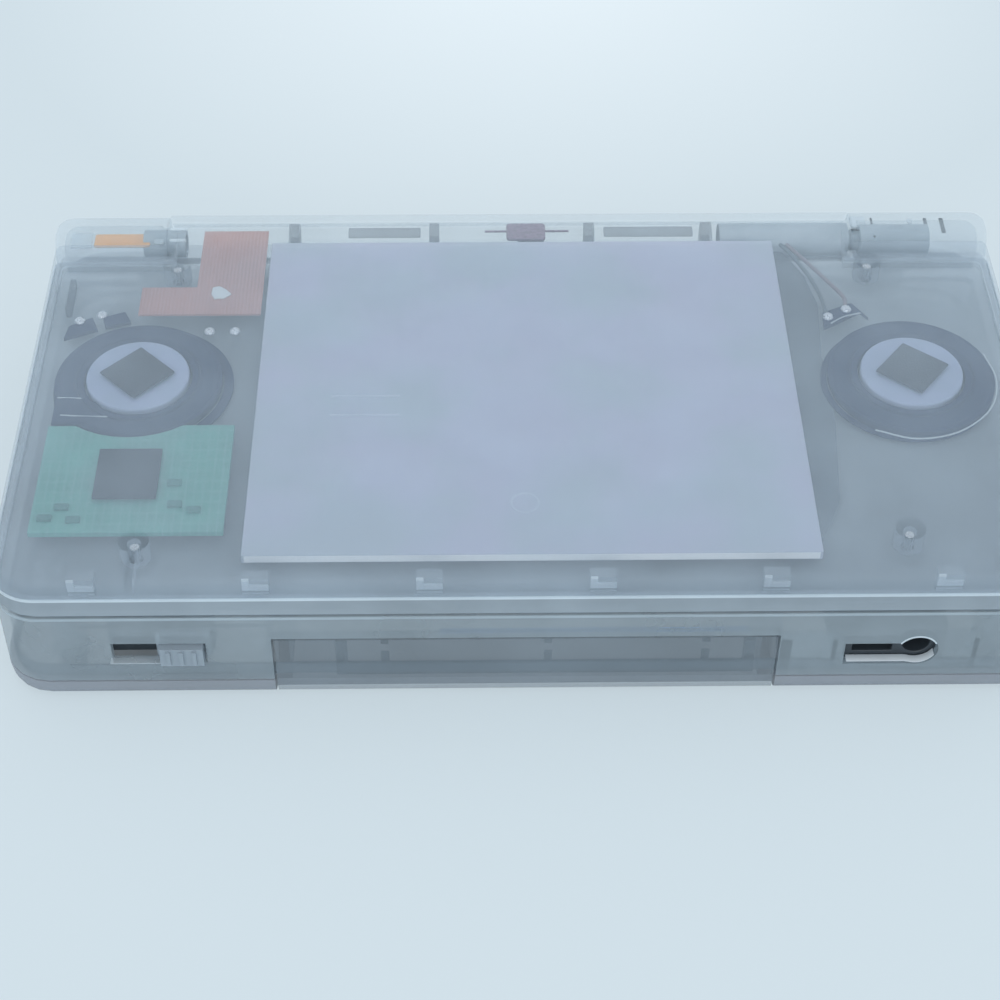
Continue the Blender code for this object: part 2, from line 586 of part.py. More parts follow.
def base_outer():
    """The base's full outer form: a rounded tray with an ear at each rear corner."""
    radii = (CORNER_RADIUS,) * 4
    low = (-HALF_WIDTH, -HALF_DEPTH, 0.0)
    outer = slab("outer", low, (HALF_WIDTH, HALF_DEPTH, BASE_TOP), radii, BASE_EDGE_FILLET, RIM_FILLET)
    left_end = BARREL_LEFT_X - HINGE_END_GAP
    right_end = BARREL_RIGHT_X + HINGE_END_GAP
    left = prism("left_ear", ear_outline(LEFT_EAR_DROP, 0.0), -HALF_WIDTH, left_end, "X")
    right = prism("right_ear", ear_outline(RIGHT_EAR_DROP, 0.0), right_end, HALF_WIDTH, "X")
    for ear in (left, right):
        keep(ear, slab("ear_plan", low, (HALF_WIDTH, HALF_DEPTH, HEIGHT + OVERRUN), radii))
    join(outer, left, right)
    trough = disc("trough", (HINGE_Y, HINGE_Z), TROUGH_RADIUS, left_end, right_end, "X", HINGE_SEGMENTS)
    lip_low = (left_end, HALF_DEPTH - REAR_LIP_DEPTH, BASE_TOP - REAR_LIP_DROP)
    lip = block("lip", lip_low, (right_end, HALF_DEPTH + OVERRUN, BASE_TOP + OVERRUN))
    return cut(outer, trough, lip)


def base_hollow():
    """The room inside the base, with the trough's own wall left standing."""
    radius = CORNER_RADIUS - WALL
    low = (-HALF_WIDTH + WALL, INNER_FRONT_Y, WALL)
    high = (HALF_WIDTH - WALL, INNER_BACK_Y, TOP_UNDERSIDE)
    hollow = slab("hollow", low, high, (radius,) * 4, WALL)
    start = BARREL_LEFT_X - HINGE_END_GAP - WALL
    end = BARREL_RIGHT_X + HINGE_END_GAP + WALL
    trough = disc("trough_wall", (HINGE_Y, HINGE_Z), TROUGH_RADIUS + WALL, start, end, "X", HINGE_SEGMENTS)
    lip_low = (start, HALF_DEPTH - REAR_LIP_DEPTH - WALL, BASE_TOP - REAR_LIP_DROP - WALL)
    lip = block("lip_wall", lip_low, (end, HALF_DEPTH + OVERRUN, BASE_TOP))
    return cut(hollow, trough, lip)


def cover_cut():
    """The cartridge bay's mouth, through the front wall and the front edge of the floor."""
    low_x = COVER_LEFT_X - CLEARANCE
    high_x = COVER_RIGHT_X + CLEARANCE
    front = -HALF_DEPTH - OVERRUN
    back = -HALF_DEPTH + COVER_THICKNESS + CLEARANCE
    return block("cover_cut", (low_x, front, -OVERRUN), (high_x, back, COVER_HEIGHT + CLEARANCE))


def stylus_mouth():
    """The round way through the right wall for the stylus."""
    inner = HALF_WIDTH - WALL - OVERRUN
    radius = STYLUS_RADIUS + CLEARANCE
    return disc("stylus_mouth", (STYLUS_Y, STYLUS_Z), radius, inner, WIDTH, "X", STYLUS_SEGMENTS)


def base_bottom_shell(finish_material):
    """The floor of the base: a shallow tray with the bay's ribs, the screw seats and the battery opening."""
    shell = cut(base_outer(), base_hollow())
    shell.name = "base_bottom_shell"
    top = SEAM_HEIGHT - SEAM_LIP
    above = block("above", (-WIDTH, -DEPTH, top), (WIDTH, DEPTH, HEIGHT + OVERRUN))
    cut(shell, above)
    added = []
    for side in (-1, 1):
        centre = BAY_X + side * (COVER_WIDTH / 2 + CLEARANCE + BAY_RIB_WIDTH / 2)
        low = (centre - BAY_RIB_WIDTH / 2, INNER_FRONT_Y + CLEARANCE, WALL / 2)
        high = (centre + BAY_RIB_WIDTH / 2, BAY_BACK_Y, BOARD_BOTTOM_Z - CLEARANCE)
        added.append(block("rib", low, high))
    for _, x, y in BASE_BOSS_PLACES:
        added.append(disc("seat", (x, y), BASE_BOSS_RADIUS + BASE_BOSS_GAP, WALL / 2, top))
    join(shell, *added)
    cover_low, cover_high = battery_cover_corners(CLEARANCE)
    corner = COVER_CORNER + CLEARANCE
    removed = [slab("battery_opening", (*cover_low, -OVERRUN), (*cover_high, WALL + OVERRUN), (corner,) * 4)]
    for _, x, y in BASE_BOSS_PLACES:
        sink = SCREW_HEAD_SINK + SCREW_HEAD_HEIGHT + CLEARANCE
        removed.append(disc("sink", (x, y), SCREW_HEAD_RADIUS + CLEARANCE, -OVERRUN, sink))
        way = SCREW_SHAFT_RADIUS + CLEARANCE
        removed.append(disc("way", (x, y), way, -OVERRUN, SEAM_HEIGHT, segments=BORE_SEGMENTS))
    cut(shell, *removed, cover_cut(), stylus_mouth())
    back = cover_high[1]
    ledge_low = (BATTERY_X - COVER_SCREW_INSET, back - BATTERY_COVER_TAB + CLEARANCE, WALL + CLEARANCE)
    ledge_high = (BATTERY_X + COVER_SCREW_INSET, back + WALL, top)
    ledge = block("ledge", ledge_low, ledge_high)
    foot = block("foot", (ledge_low[0], back + CLEARANCE, WALL / 2), ledge_high)
    join(shell, ledge, foot)
    place = (BATTERY_X, back - COVER_SCREW_INSET)
    bore = disc("bore", place, SCREW_SHAFT_RADIUS + CLEARANCE, 0.0, HEIGHT, segments=BORE_SEGMENTS)
    return finish(cut(shell, bore), finish_material)


def battery_cover_corners(grow):
    """The battery cover's corners in plan, grown by a gap. It reaches past the battery at the back."""
    margin = BATTERY_COVER_MARGIN + grow
    front = BATTERY_FRONT_Y - margin
    back = BATTERY_BACK_Y + BATTERY_COVER_TAB + grow
    return (BATTERY_LEFT_X - margin, front), (BATTERY_RIGHT_X + margin, back)


def button_places():
    """Name and place of each round button, with its radius."""
    reach = BUTTON_REACH
    return (
        ("action_button_right", BUTTON_CLUSTER_X + reach, CONTROL_Y, BUTTON_RADIUS),
        ("action_button_left", BUTTON_CLUSTER_X - reach, CONTROL_Y, BUTTON_RADIUS),
        ("action_button_back", BUTTON_CLUSTER_X, CONTROL_Y + reach, BUTTON_RADIUS),
        ("action_button_front", BUTTON_CLUSTER_X, CONTROL_Y - reach, BUTTON_RADIUS),
        ("start_button", SMALL_BUTTON_X, START_Y, SMALL_BUTTON_RADIUS),
        ("select_button", SMALL_BUTTON_X, SELECT_Y, SMALL_BUTTON_RADIUS),
    )


def cross_outline(half_span, half_arm):
    """The outline of a plus shape around the direction pad's centre."""
    a, b = half_arm, half_span
    arm = [(-a, -a), (-a, -b), (a, -b)]
    turns = ((1, 0, 0, 1), (0, -1, 1, 0), (-1, 0, 0, -1), (0, 1, -1, 0))
    corners = [(p * x + q * y, r * x + s * y) for p, q, r, s in turns for x, y in arm]
    return [(DPAD_X + x, CONTROL_Y + y) for x, y in corners]


def jack_outline(grow):
    """The keyhole mouth in X and Z: a level slot that runs into a round end at the right."""
    radius = JACK_NOSE_RADIUS + grow
    half = JACK_SLOT_HEIGHT / 2 + grow
    rise_low = JACK_SLOT_Z - half - JACK_Z
    rise_high = JACK_SLOT_Z + half - JACK_Z
    start = -math.pi + math.asin(-rise_low / radius)
    end = math.pi - math.asin(rise_high / radius)
    points = [(JACK_LEFT_X - grow, JACK_Z + rise_high), (JACK_LEFT_X - grow, JACK_Z + rise_low)]
    steps = BUTTON_SEGMENTS
    for step in range(steps + 1):
        angle = start + (end - start) * step / steps
        points.append((JACK_X + radius * math.cos(angle), JACK_Z + radius * math.sin(angle)))
    return points


def trigger_cut(side):
    """The opening for a trigger at a rear corner, side -1 for left and 1 for right."""
    inner = side * (TRIGGER_INNER_X - CLEARANCE)
    outer = side * (HALF_WIDTH + OVERRUN)
    front = TRIGGER_FRONT_Y - TRIGGER_FRONT_GAP
    low = (min(inner, outer), front, TRIGGER_BOTTOM_Z - CLEARANCE)
    return block("trigger_cut", low, (max(inner, outer), HALF_DEPTH + OVERRUN, TOP_UNDERSIDE))


def base_top_shell(finish_material):
    """The upper part of the base, with the ears, the face, the control holes and every side opening."""
    shell = cut(base_outer(), base_hollow())
    shell.name = "base_top_shell"
    bottom = SEAM_HEIGHT + SEAM_LIP
    below = block("below", (-WIDTH, -DEPTH, -OVERRUN), (WIDTH, DEPTH, bottom))
    face_low = (-HALF_WIDTH + RIM_WIDTH, -HALF_DEPTH + RIM_WIDTH, BASE_FACE)
    face_high = (HALF_WIDTH - RIM_WIDTH, FACE_BACK_Y, BASE_TOP + OVERRUN)
    face_corner = CORNER_RADIUS - RIM_WIDTH
    face = slab("face", face_low, face_high, (face_corner, face_corner, RIM_WIDTH, RIM_WIDTH))
    half_screen = (LOWER_SCREEN_WIDTH / 2, LOWER_SCREEN_DEPTH / 2)
    window_low = (-half_screen[0], LOWER_SCREEN_Y - half_screen[1], TOP_UNDERSIDE - OVERRUN)
    window_high = (half_screen[0], LOWER_SCREEN_Y + half_screen[1], BASE_TOP)
    window = block("window", window_low, window_high)
    cut(shell, below, face, window, trigger_cut(-1), trigger_cut(1))
    added = []
    for _, x, y in BASE_BOSS_PLACES:
        added.append(disc("boss", (x, y), BASE_BOSS_RADIUS, bottom, TOP_UNDERSIDE + WALL / 2))
    for side in (-1, 1):
        x = side * TRIGGER_PIVOT_X
        low = (x - BRACKET_HALF_WIDTH, TRIGGER_PIVOT_Y - BRACKET_DEPTH, BRACKET_BOTTOM_Z)
        high = (x + BRACKET_HALF_WIDTH, INNER_BACK_Y + WALL / 2, TRIGGER_BOTTOM_Z - CLEARANCE)
        added.append(block("bracket", low, high))
    join(shell, *added)
    removed = [cover_cut()]
    for side in (-1, 1):
        pivot = (side * TRIGGER_PIVOT_X, TRIGGER_PIVOT_Y)
        top = TOP_UNDERSIDE + PIN_SINK + CLEARANCE
        low_z = BRACKET_BOTTOM_Z - OVERRUN
        removed.append(disc("pin_bore", pivot, PIN_BORE_RADIUS, low_z, top, segments=BORE_SEGMENTS))
    for _, x, y in BASE_BOSS_PLACES:
        radius = SCREW_SHAFT_RADIUS + CLEARANCE
        length = SCREW_HEAD_SINK + SCREW_HEAD_HEIGHT + BASE_SCREW_LENGTH + CLEARANCE
        removed.append(disc("screw_bore", (x, y), radius, 0.0, length, segments=BORE_SEGMENTS))
    for name, x, y, radius in button_places():
        removed.append(disc(name, (x, y), radius + CLEARANCE, TOP_UNDERSIDE - OVERRUN, BASE_TOP))
    cross = cross_outline(DPAD_SPAN / 2 + DPAD_HOLE_GAP, DPAD_ARM / 2 + DPAD_HOLE_GAP)
    removed.append(prism("cross", cross, TOP_UNDERSIDE - OVERRUN, BASE_TOP))
    removed.append(volume_slot())
    removed.append(power_slot())
    front = -HALF_DEPTH - OVERRUN
    removed.append(prism("jack_mouth", jack_outline(CLEARANCE), front, INNER_FRONT_Y + OVERRUN, "Y"))
    removed.append(stylus_mouth())
    half_card = CARD_WIDTH / 2
    card_z = CARD_BOTTOM_Z + CARD_SLOT_WALL
    back = HALF_DEPTH + OVERRUN
    card_low = (-half_card, INNER_BACK_Y - OVERRUN, card_z)
    removed.append(block("card_mouth", card_low, (half_card, back, card_z + CARD_HEIGHT)))
    mouth = (CHARGE_MOUTH_WIDTH / 2 + CLEARANCE, CHARGE_MOUTH_HEIGHT / 2 + CLEARANCE)
    charge_low = (CHARGE_X - mouth[0], INNER_BACK_Y - OVERRUN, CHARGE_Z - mouth[1])
    removed.append(block("charge_mouth", charge_low, (CHARGE_X + mouth[0], back, CHARGE_Z + mouth[1])))
    left_end = BARREL_LEFT_X - HINGE_END_GAP - EAR_WALL
    right_end = BARREL_RIGHT_X + HINGE_END_GAP + EAR_WALL
    outer = HALF_WIDTH - EAR_WALL
    for drop, start, end in ((LEFT_EAR_DROP, -outer, left_end), (RIGHT_EAR_DROP, right_end, outer)):
        room = prism("ear_room", ear_outline(drop, EAR_WALL), start, end, "X")
        corner = CORNER_RADIUS - EAR_WALL
        plan_low = (-outer, -HALF_DEPTH, 0.0)
        plan = slab("room_plan", plan_low, (outer, HALF_DEPTH - EAR_WALL, HEIGHT), (corner,) * 4)
        removed.append(keep(room, plan))
    axis = (HINGE_Y, HINGE_Z)
    removed.append(disc("bush_way", axis, BUSH_RADIUS + CLEARANCE, left_end - OVERRUN, BARREL_LEFT_X, "X"))
    removed.append(disc("axle_way", axis, AXLE_RADIUS + CLEARANCE, BARREL_RIGHT_X, right_end + OVERRUN, "X"))
    return finish(cut(shell, *removed), finish_material)


def volume_slot():
    """The slot in the front wall that the volume slider's knob stands in."""
    low = (VOLUME_SLOT_LEFT_X, -HALF_DEPTH - OVERRUN, VOLUME_SLOT_BOTTOM_Z)
    high_z = VOLUME_SLOT_BOTTOM_Z + VOLUME_SLOT_HEIGHT
    return block("volume_slot", low, (VOLUME_SLOT_RIGHT_X, INNER_FRONT_Y + OVERRUN, high_z))


def power_slot():
    """The slot in the right wall that the power slider's knob stands in."""
    low = (HALF_WIDTH - WALL - OVERRUN, POWER_Y - POWER_SLOT_DEPTH / 2, POWER_Z - POWER_SLOT_HEIGHT / 2)
    high = (HALF_WIDTH + OVERRUN, POWER_Y + POWER_SLOT_DEPTH / 2, POWER_Z + POWER_SLOT_HEIGHT / 2)
    return block("power_slot", low, high)


def lid_outer():
    """The lid's full outer form: a rounded plate, the hinge barrel and the web between them."""
    radii = (CORNER_RADIUS, CORNER_RADIUS, LID_REAR_RADIUS, LID_REAR_RADIUS)
    low = (-HALF_WIDTH, -HALF_DEPTH, LID_BOTTOM)
    front = slab("lid", low, (HALF_WIDTH, LID_REAR_Y, HEIGHT), radii, RIM_FILLET, LID_REAR_RADIUS)
    rounded_low = (-HALF_WIDTH, -HALF_DEPTH, LID_BOTTOM - LID_FILLET)
    corner = (CORNER_RADIUS,) * 4
    rounded_high = (HALF_WIDTH, HALF_DEPTH + CORNER_RADIUS + LID_FILLET, HEIGHT)
    keep(front, slab("lid_edge", rounded_low, rounded_high, corner, 0.0, LID_FILLET))
    web_low = (BARREL_LEFT_X, LID_REAR_Y - LID_REAR_RADIUS * 2, LID_BOTTOM)
    web = block("web", web_low, (BARREL_RIGHT_X, HINGE_Y, HEIGHT))
    axis = (HINGE_Y, HINGE_Z)
    barrel = disc("barrel", axis, HINGE_RADIUS, BARREL_LEFT_X, BARREL_RIGHT_X, "X", HINGE_SEGMENTS)
    return join(front, web, barrel)


def lid_hollow():
    """The room inside the lid, with the barrel's bore, which opens at both ends of the barrel."""
    radius = CORNER_RADIUS - LID_WALL
    low = (-HALF_WIDTH + LID_WALL, -HALF_DEPTH + LID_WALL, BEZEL_TOP)
    high = (HALF_WIDTH - LID_WALL, LID_REAR_Y - LID_WALL, LID_CEILING)
    rear = LID_REAR_RADIUS
    hollow = slab("lid_room", low, high, (radius, radius, rear, rear), 0.0, LID_REAR_RADIUS)
    web_low = (BARREL_LEFT_X + LID_WALL, LID_REAR_Y - LID_WALL * 2, BEZEL_TOP)
    web = block("web_room", web_low, (BARREL_RIGHT_X - LID_WALL, HINGE_Y, LID_CEILING))
    axis = (HINGE_Y, HINGE_Z)
    start = BARREL_LEFT_X - OVERRUN
    end = BARREL_RIGHT_X + OVERRUN
    bore = disc("barrel_bore", axis, BARREL_BORE_RADIUS, start, end, "X", HINGE_SEGMENTS)
    return join(hollow, web, bore)


def lid_outer_shell(finish_material):
    """The lid's outer cover, with its four screw bosses."""
    shell = cut(lid_outer(), lid_hollow())
    shell.name = "lid_outer_shell"
    bottom = LID_SEAM_HEIGHT + SEAM_LIP
    cut(shell, block("below", (-WIDTH, -DEPTH, 0.0), (WIDTH, DEPTH, bottom)))
    added = []
    for name, x, y in LID_BOSS_PLACES:
        added.append(disc("boss", (x, y), BOSS_RADIUS, LID_FLOOR, LID_CEILING + LID_WALL / 2))
        if name == "front_left":
            rib_low = (x - BOSS_RIB_WIDTH / 2, -HALF_DEPTH + LID_WALL - BOSS_RIB_ROOT, bottom)
            added.append(block("rib", rib_low, (x + BOSS_RIB_WIDTH / 2, y, LID_CEILING + LID_WALL / 2)))
    join(shell, *added)
    bores = []
    for _, x, y in LID_BOSS_PLACES:
        top = lid_screw_seat() + LID_SCREW_LENGTH + CLEARANCE
        bores.append(disc("bore", (x, y), BOSS_BORE_RADIUS, LID_FLOOR - OVERRUN, top, segments=BORE_SEGMENTS))
    return finish(cut(shell, *bores), finish_material)


def lid_screw_seat():
    """The height of the face that a lid screw's head bears on."""
    return LID_BOTTOM + LID_SCREW_HEAD_HEIGHT + CLEARANCE


def lid_inner_bezel(finish_material):
    """The lid's inner cover, with its screen opening, speaker holes, screw seats and snap hooks."""
    shell = cut(lid_outer(), lid_hollow())
    shell.name = "lid_inner_bezel"
    top = LID_SEAM_HEIGHT - SEAM_LIP
    above = block("above", (-WIDTH, -DEPTH, top), (WIDTH, DEPTH, HEIGHT + OVERRUN))
    recess_low = (-HALF_WIDTH + BEZEL_RIM_WIDTH, -HALF_DEPTH + BEZEL_RIM_WIDTH, LID_BOTTOM - OVERRUN)
    recess_high = (HALF_WIDTH - BEZEL_RIM_WIDTH, LID_REAR_Y - BEZEL_RIM_WIDTH, BEZEL_FACE)
    corner = CORNER_RADIUS - BEZEL_RIM_WIDTH
    recess = slab("recess", recess_low, recess_high, (corner, corner, LID_REAR_RADIUS, LID_REAR_RADIUS))
    half = (UPPER_SCREEN_WIDTH / 2, UPPER_SCREEN_DEPTH / 2)
    opening_low = (-half[0], UPPER_SCREEN_Y - half[1], LID_BOTTOM)
    opening = block("opening", opening_low, (half[0], UPPER_SCREEN_Y + half[1], BEZEL_TOP + OVERRUN))
    cut(shell, above, recess, opening)
    added = []
    for _, x, y in LID_BOSS_PLACES:
        added.append(disc("seat", (x, y), BOSS_SEAT_RADIUS, LID_BOTTOM, BEZEL_TOP - BEZEL_PLATE / 2))
    for index in range(HOOK_COUNT):
        x = HOOK_FIRST_X + index * HOOK_PITCH
        front = -HALF_DEPTH + LID_WALL + HOOK_GAP
        hook_low = (x - HOOK_WIDTH / 2, front, BEZEL_TOP - BEZEL_PLATE / 2)
        hook_high = (x + HOOK_WIDTH / 2, front + HOOK_THICKNESS, BEZEL_TOP + HOOK_HEIGHT)
        added.append(block("hook", hook_low, hook_high))
        tooth_low = (x - HOOK_WIDTH / 2, front, BEZEL_TOP + HOOK_HEIGHT - SNAP_TOOTH)
        tooth_high = (x + HOOK_WIDTH / 2, front + HOOK_THICKNESS + SNAP_TOOTH, BEZEL_TOP + HOOK_HEIGHT)
        added.append(block("tooth", tooth_low, tooth_high))
    join(shell, *added)
    removed = []
    for _, x, y in LID_BOSS_PLACES:
        head = LID_SCREW_HEAD_RADIUS + CLEARANCE
        removed.append(disc("sink", (x, y), head, LID_BOTTOM - OVERRUN, lid_screw_seat()))
        way = SCREW_SHAFT_RADIUS + CLEARANCE
        removed.append(disc("way", (x, y), way, LID_BOTTOM, LID_FLOOR, segments=BORE_SEGMENTS))
    for x in (SPEAKER_LEFT_X, SPEAKER_RIGHT_X):
        for place in [(x, SPEAKER_Y), *circle((x, SPEAKER_Y), GRILLE_RING_RADIUS, GRILLE_COUNT)]:
            hole = disc("hole", place, GRILLE_HOLE_RADIUS, LID_BOTTOM, LID_FLOOR, segments=BORE_SEGMENTS)
            removed.append(hole)
    bottom = HINGE_Z - HINGE_RADIUS - OVERRUN
    place = (MICROPHONE_X, HINGE_Y)
    removed.append(disc("sound_hole", place, MICROPHONE_HOLE_RADIUS, bottom, HINGE_Z, segments=BORE_SEGMENTS))
    return finish(cut(shell, *removed), finish_material)


def lid_pieces(finishes):
    """Everything between the lid's two covers."""
    half = (UPPER_SCREEN_WIDTH / 2 - CLEARANCE, UPPER_SCREEN_DEPTH / 2 - CLEARANCE)
    window_low = (-half[0], UPPER_SCREEN_Y - half[1], BEZEL_TOP - WINDOW_THICKNESS)
    window = block("screen_window", window_low, (half[0], UPPER_SCREEN_Y + half[1], BEZEL_TOP))
    finish(window, finishes["clear"])

    half = (UPPER_DISPLAY_WIDTH / 2, UPPER_DISPLAY_DEPTH / 2)
    display_top = LID_FLOOR + UPPER_DISPLAY_THICKNESS
    low = (-half[0], UPPER_SCREEN_Y - half[1], LID_FLOOR)
    finish(block("upper_display", low, (half[0], UPPER_SCREEN_Y + half[1], display_top)), finishes["glass"])

    half = (BACK_PLATE_WIDTH / 2, BACK_PLATE_DEPTH / 2)
    sheet_low = display_top + CLEARANCE
    low = (-half[0], UPPER_SCREEN_Y - half[1], sheet_low + BACK_PLATE_SHEET - BACK_PLATE_RIM)
    high = (half[0], UPPER_SCREEN_Y + half[1], sheet_low + BACK_PLATE_SHEET)
    plate = block("display_back_plate", low, high)
    sheet = BACK_PLATE_SHEET
    room_low = (low[0] + sheet, low[1] + sheet, low[2] - OVERRUN)
    cut(plate, block("tray_room", room_low, (high[0] - sheet, high[1] - sheet, sheet_low)))
    finish(plate, finishes["plate"])

    flex_low = sheet_low
    left = FLEX_RIGHT_X - FLEX_STRIP_WIDTH
    arm_left = FLEX_RIGHT_X - FLEX_ARM_LENGTH
    arm_front = FLEX_ARM_BACK_Y - FLEX_ARM_DEPTH
    outline = [
        (arm_left, arm_front),
        (FLEX_RIGHT_X, arm_front),
        (FLEX_RIGHT_X, HINGE_Y),
        (left, HINGE_Y),
        (left, FLEX_ARM_BACK_Y),
        (arm_left, FLEX_ARM_BACK_Y),
    ]
    finish(prism("display_flex", outline, flex_low, flex_low + FLEX_THICKNESS), finishes["flex"])

    for side, x, pad_turn in (("left", SPEAKER_LEFT_X, 0.0), ("right", SPEAKER_RIGHT_X, RIGHT_PAD_TURN)):
        centre = (x, SPEAKER_Y)
        top = LID_FLOOR + SPEAKER_FRAME_HEIGHT
        count = SPEAKER_SEGMENTS
        frame = disc(f"speaker_frame_{side}", centre, SPEAKER_RADIUS, LID_FLOOR, top, segments=count)
        collar_top = top + CLEARANCE
        join(frame, disc("collar", centre, SPEAKER_COLLAR_RADIUS, LID_FLOOR, collar_top, segments=count))
        cut(frame, disc("opening", centre, SPEAKER_OPENING_RADIUS, 0.0, HEIGHT, segments=count))
        finish(frame, finishes["speaker"])
        magnet_top = LID_FLOOR + MAGNET_HEIGHT
        magnet = disc(f"speaker_magnet_{side}", centre, MAGNET_RADIUS, LID_FLOOR, magnet_top, segments=count)
        finish(magnet, finishes["magnet"])
        pad_low = magnet_top + CLEARANCE
        pad_outline = circle(centre, PAD_HALF_DIAGONAL, 4, pad_turn)
        pad = prism(f"speaker_pad_{side}", pad_outline, pad_low, pad_low + PAD_THICKNESS)
        finish(pad, finishes["foam"])

    board_low = LID_FLOOR + ANTENNA_BOARD_LIFT
    board_top = board_low + ANTENNA_BOARD_THICKNESS
    low = (ANTENNA_BOARD_LEFT_X, ANTENNA_BOARD_FRONT_Y, board_low)
    board = block("antenna_board", low, (ANTENNA_BOARD_RIGHT_X, ANTENNA_BOARD_BACK_Y, board_top))
    ring = (SPEAKER_LEFT_X, SPEAKER_Y)
    ring_radius = SPEAKER_RADIUS + ANTENNA_BOARD_RING_GAP
    cut(board, disc("ring_way", ring, ring_radius, LID_FLOOR, LID_CEILING, segments=SPEAKER_SEGMENTS))
    finish(board, finishes["board"])
    chip_low = board_top + CLEARANCE
    low = (ANTENNA_BOARD_LEFT_X + CHIP_LEFT_MARGIN, ANTENNA_BOARD_FRONT_Y + CHIP_FRONT_MARGIN, chip_low)
    high = (low[0] + CHIP_WIDTH, ANTENNA_BOARD_BACK_Y - CHIP_BACK_MARGIN, chip_low + CHIP_THICKNESS)
    finish(block("antenna_chip", low, high), finishes["dark"])

    middle = (MICROPHONE_X, HINGE_Y)
    low_z = HINGE_Z - MICROPHONE_HEIGHT / 2
    microphone = disc("microphone", middle, MICROPHONE_RADIUS, low_z, low_z + MICROPHONE_HEIGHT)
    finish(microphone, finishes["metal"])

    for name, x, y in LID_BOSS_PLACES:
        seat = lid_screw_seat() - CLEARANCE
        head_low = seat - LID_SCREW_HEAD_HEIGHT + CLEARANCE / 2
        top = seat + LID_SCREW_LENGTH
        lid_screw = screw(f"lid_screw_{name}", (x, y), head_low, seat, top, LID_SCREW_HEAD_RADIUS)
        finish(lid_screw, finishes["metal"])


def screw(name, place, head_low, head_high, top, head_radius):
    """A screw that points up: a flat head with a cross recess under a plain shaft."""
    made = disc(name, place, head_radius, head_low, head_high, segments=SCREW_SEGMENTS)
    join(made, disc("shaft", place, SCREW_SHAFT_RADIUS, head_low, top, segments=BORE_SEGMENTS))
    depth = (head_high - head_low) / 2
    long = head_radius / 2
    short = head_radius * CROSS_ARM_SHARE
    bars = []
    for half_x, half_y in ((long, short), (short, long)):
        low = (place[0] - half_x, place[1] - half_y, head_low - OVERRUN)
        bars.append(block("bar", low, (place[0] + half_x, place[1] + half_y, head_low + depth)))
    join(bars[0], bars[1])
    return cut(made, bars[0])


def hinge_pieces(finishes):
    """The friction cartridge in the barrel's right end, its axle and the bush in the left ear."""
    axis = (HINGE_Y, HINGE_Z)
    end = BARREL_RIGHT_X
    cartridge = disc("hinge_cartridge", axis, CARTRIDGE_RADIUS, end - CARTRIDGE_LENGTH, end, "X")
    socket_start = end - CARTRIDGE_SOCKET_DEPTH
    cut(cartridge, disc("socket", axis, CARTRIDGE_SOCKET_RADIUS, socket_start, end + OVERRUN, "X"))
    finish(cartridge, finishes["metal"])

    head_start = end + HINGE_END_GAP + EAR_WALL + CLEARANCE
    axle = disc("hinge_axle", axis, AXLE_RADIUS, socket_start + CLEARANCE, head_start + CLEARANCE, "X")
    join(axle, disc("head", axis, AXLE_HEAD_RADIUS, head_start, head_start + AXLE_HEAD_LENGTH, "X"))
    finish(axle, finishes["metal"])

    middle = BARREL_LEFT_X - HINGE_END_GAP - EAR_WALL / 2
    start = middle - BUSH_LENGTH / 2
    bush = disc("hinge_bush", axis, BUSH_RADIUS, start, start + BUSH_LENGTH, "X")
    cut(bush, disc("bush_bore", axis, BUSH_BORE_RADIUS, start - OVERRUN, start + BUSH_LENGTH + OVERRUN, "X"))
    finish(bush, finishes["dark"])


def displays(finishes):
    """The lower display and the touch panel under the base's window."""
    half = (LOWER_SCREEN_WIDTH / 2 + TOUCH_PANEL_MARGIN, LOWER_SCREEN_DEPTH / 2 + TOUCH_PANEL_MARGIN)
    low = (-half[0], LOWER_SCREEN_Y - half[1], TOUCH_PANEL_TOP_Z - TOUCH_PANEL_THICKNESS)
    high = (half[0], LOWER_SCREEN_Y + half[1], TOUCH_PANEL_TOP_Z)
    finish(block("touch_panel", low, high), finishes["clear"])
    half = (LOWER_DISPLAY_WIDTH / 2, LOWER_DISPLAY_DEPTH / 2)
    low = (-half[0], LOWER_SCREEN_Y - half[1], ON_BOARD_Z)
    high = (half[0], LOWER_SCREEN_Y + half[1], LOWER_DISPLAY_TOP_Z)
    finish(block("lower_display", low, high), finishes["glass"])


def main_board(finish_material):
    """The main board, cut back for the cartridge bay, the headphone socket and the rear screw bosses."""
    bay_left = COVER_LEFT_X - CLEARANCE * 2 - BAY_RIB_WIDTH
    bay_right = COVER_RIGHT_X + CLEARANCE * 2 + BAY_RIB_WIDTH
    bay_back = BAY_BACK_Y - CONNECTOR_DEPTH
    jack_left = JACK_LEFT_X - JACK_BODY_MARGIN - CLEARANCE * 2
    jack_right = JACK_X + JACK_NOSE_RADIUS + JACK_BODY_MARGIN + CLEARANCE * 2
    jack_back = INNER_FRONT_Y + CLEARANCE * 2 + JACK_BODY_DEPTH
    outline = [
        (-BOARD_HALF_WIDTH, BOARD_FRONT_Y),
        (bay_left, BOARD_FRONT_Y),
        (bay_left, bay_back),
        (bay_right, bay_back),
        (bay_right, BOARD_FRONT_Y),
        (jack_left, BOARD_FRONT_Y),
        (jack_left, jack_back),
        (jack_right, jack_back),
        (jack_right, BOARD_FRONT_Y),
        (BOARD_HALF_WIDTH, BOARD_FRONT_Y),
        (BOARD_HALF_WIDTH, BOARD_TRIM_Y),
        (BOARD_TRIM_X, BOARD_TRIM_Y),
        (BOARD_TRIM_X, BOARD_BACK_Y),
        (-BOARD_TRIM_X, BOARD_BACK_Y),
        (-BOARD_TRIM_X, BOARD_TRIM_Y),
        (-BOARD_HALF_WIDTH, BOARD_TRIM_Y),
    ]
    return finish(prism("main_board", outline, BOARD_BOTTOM_Z, BOARD_TOP_Z), finish_material)


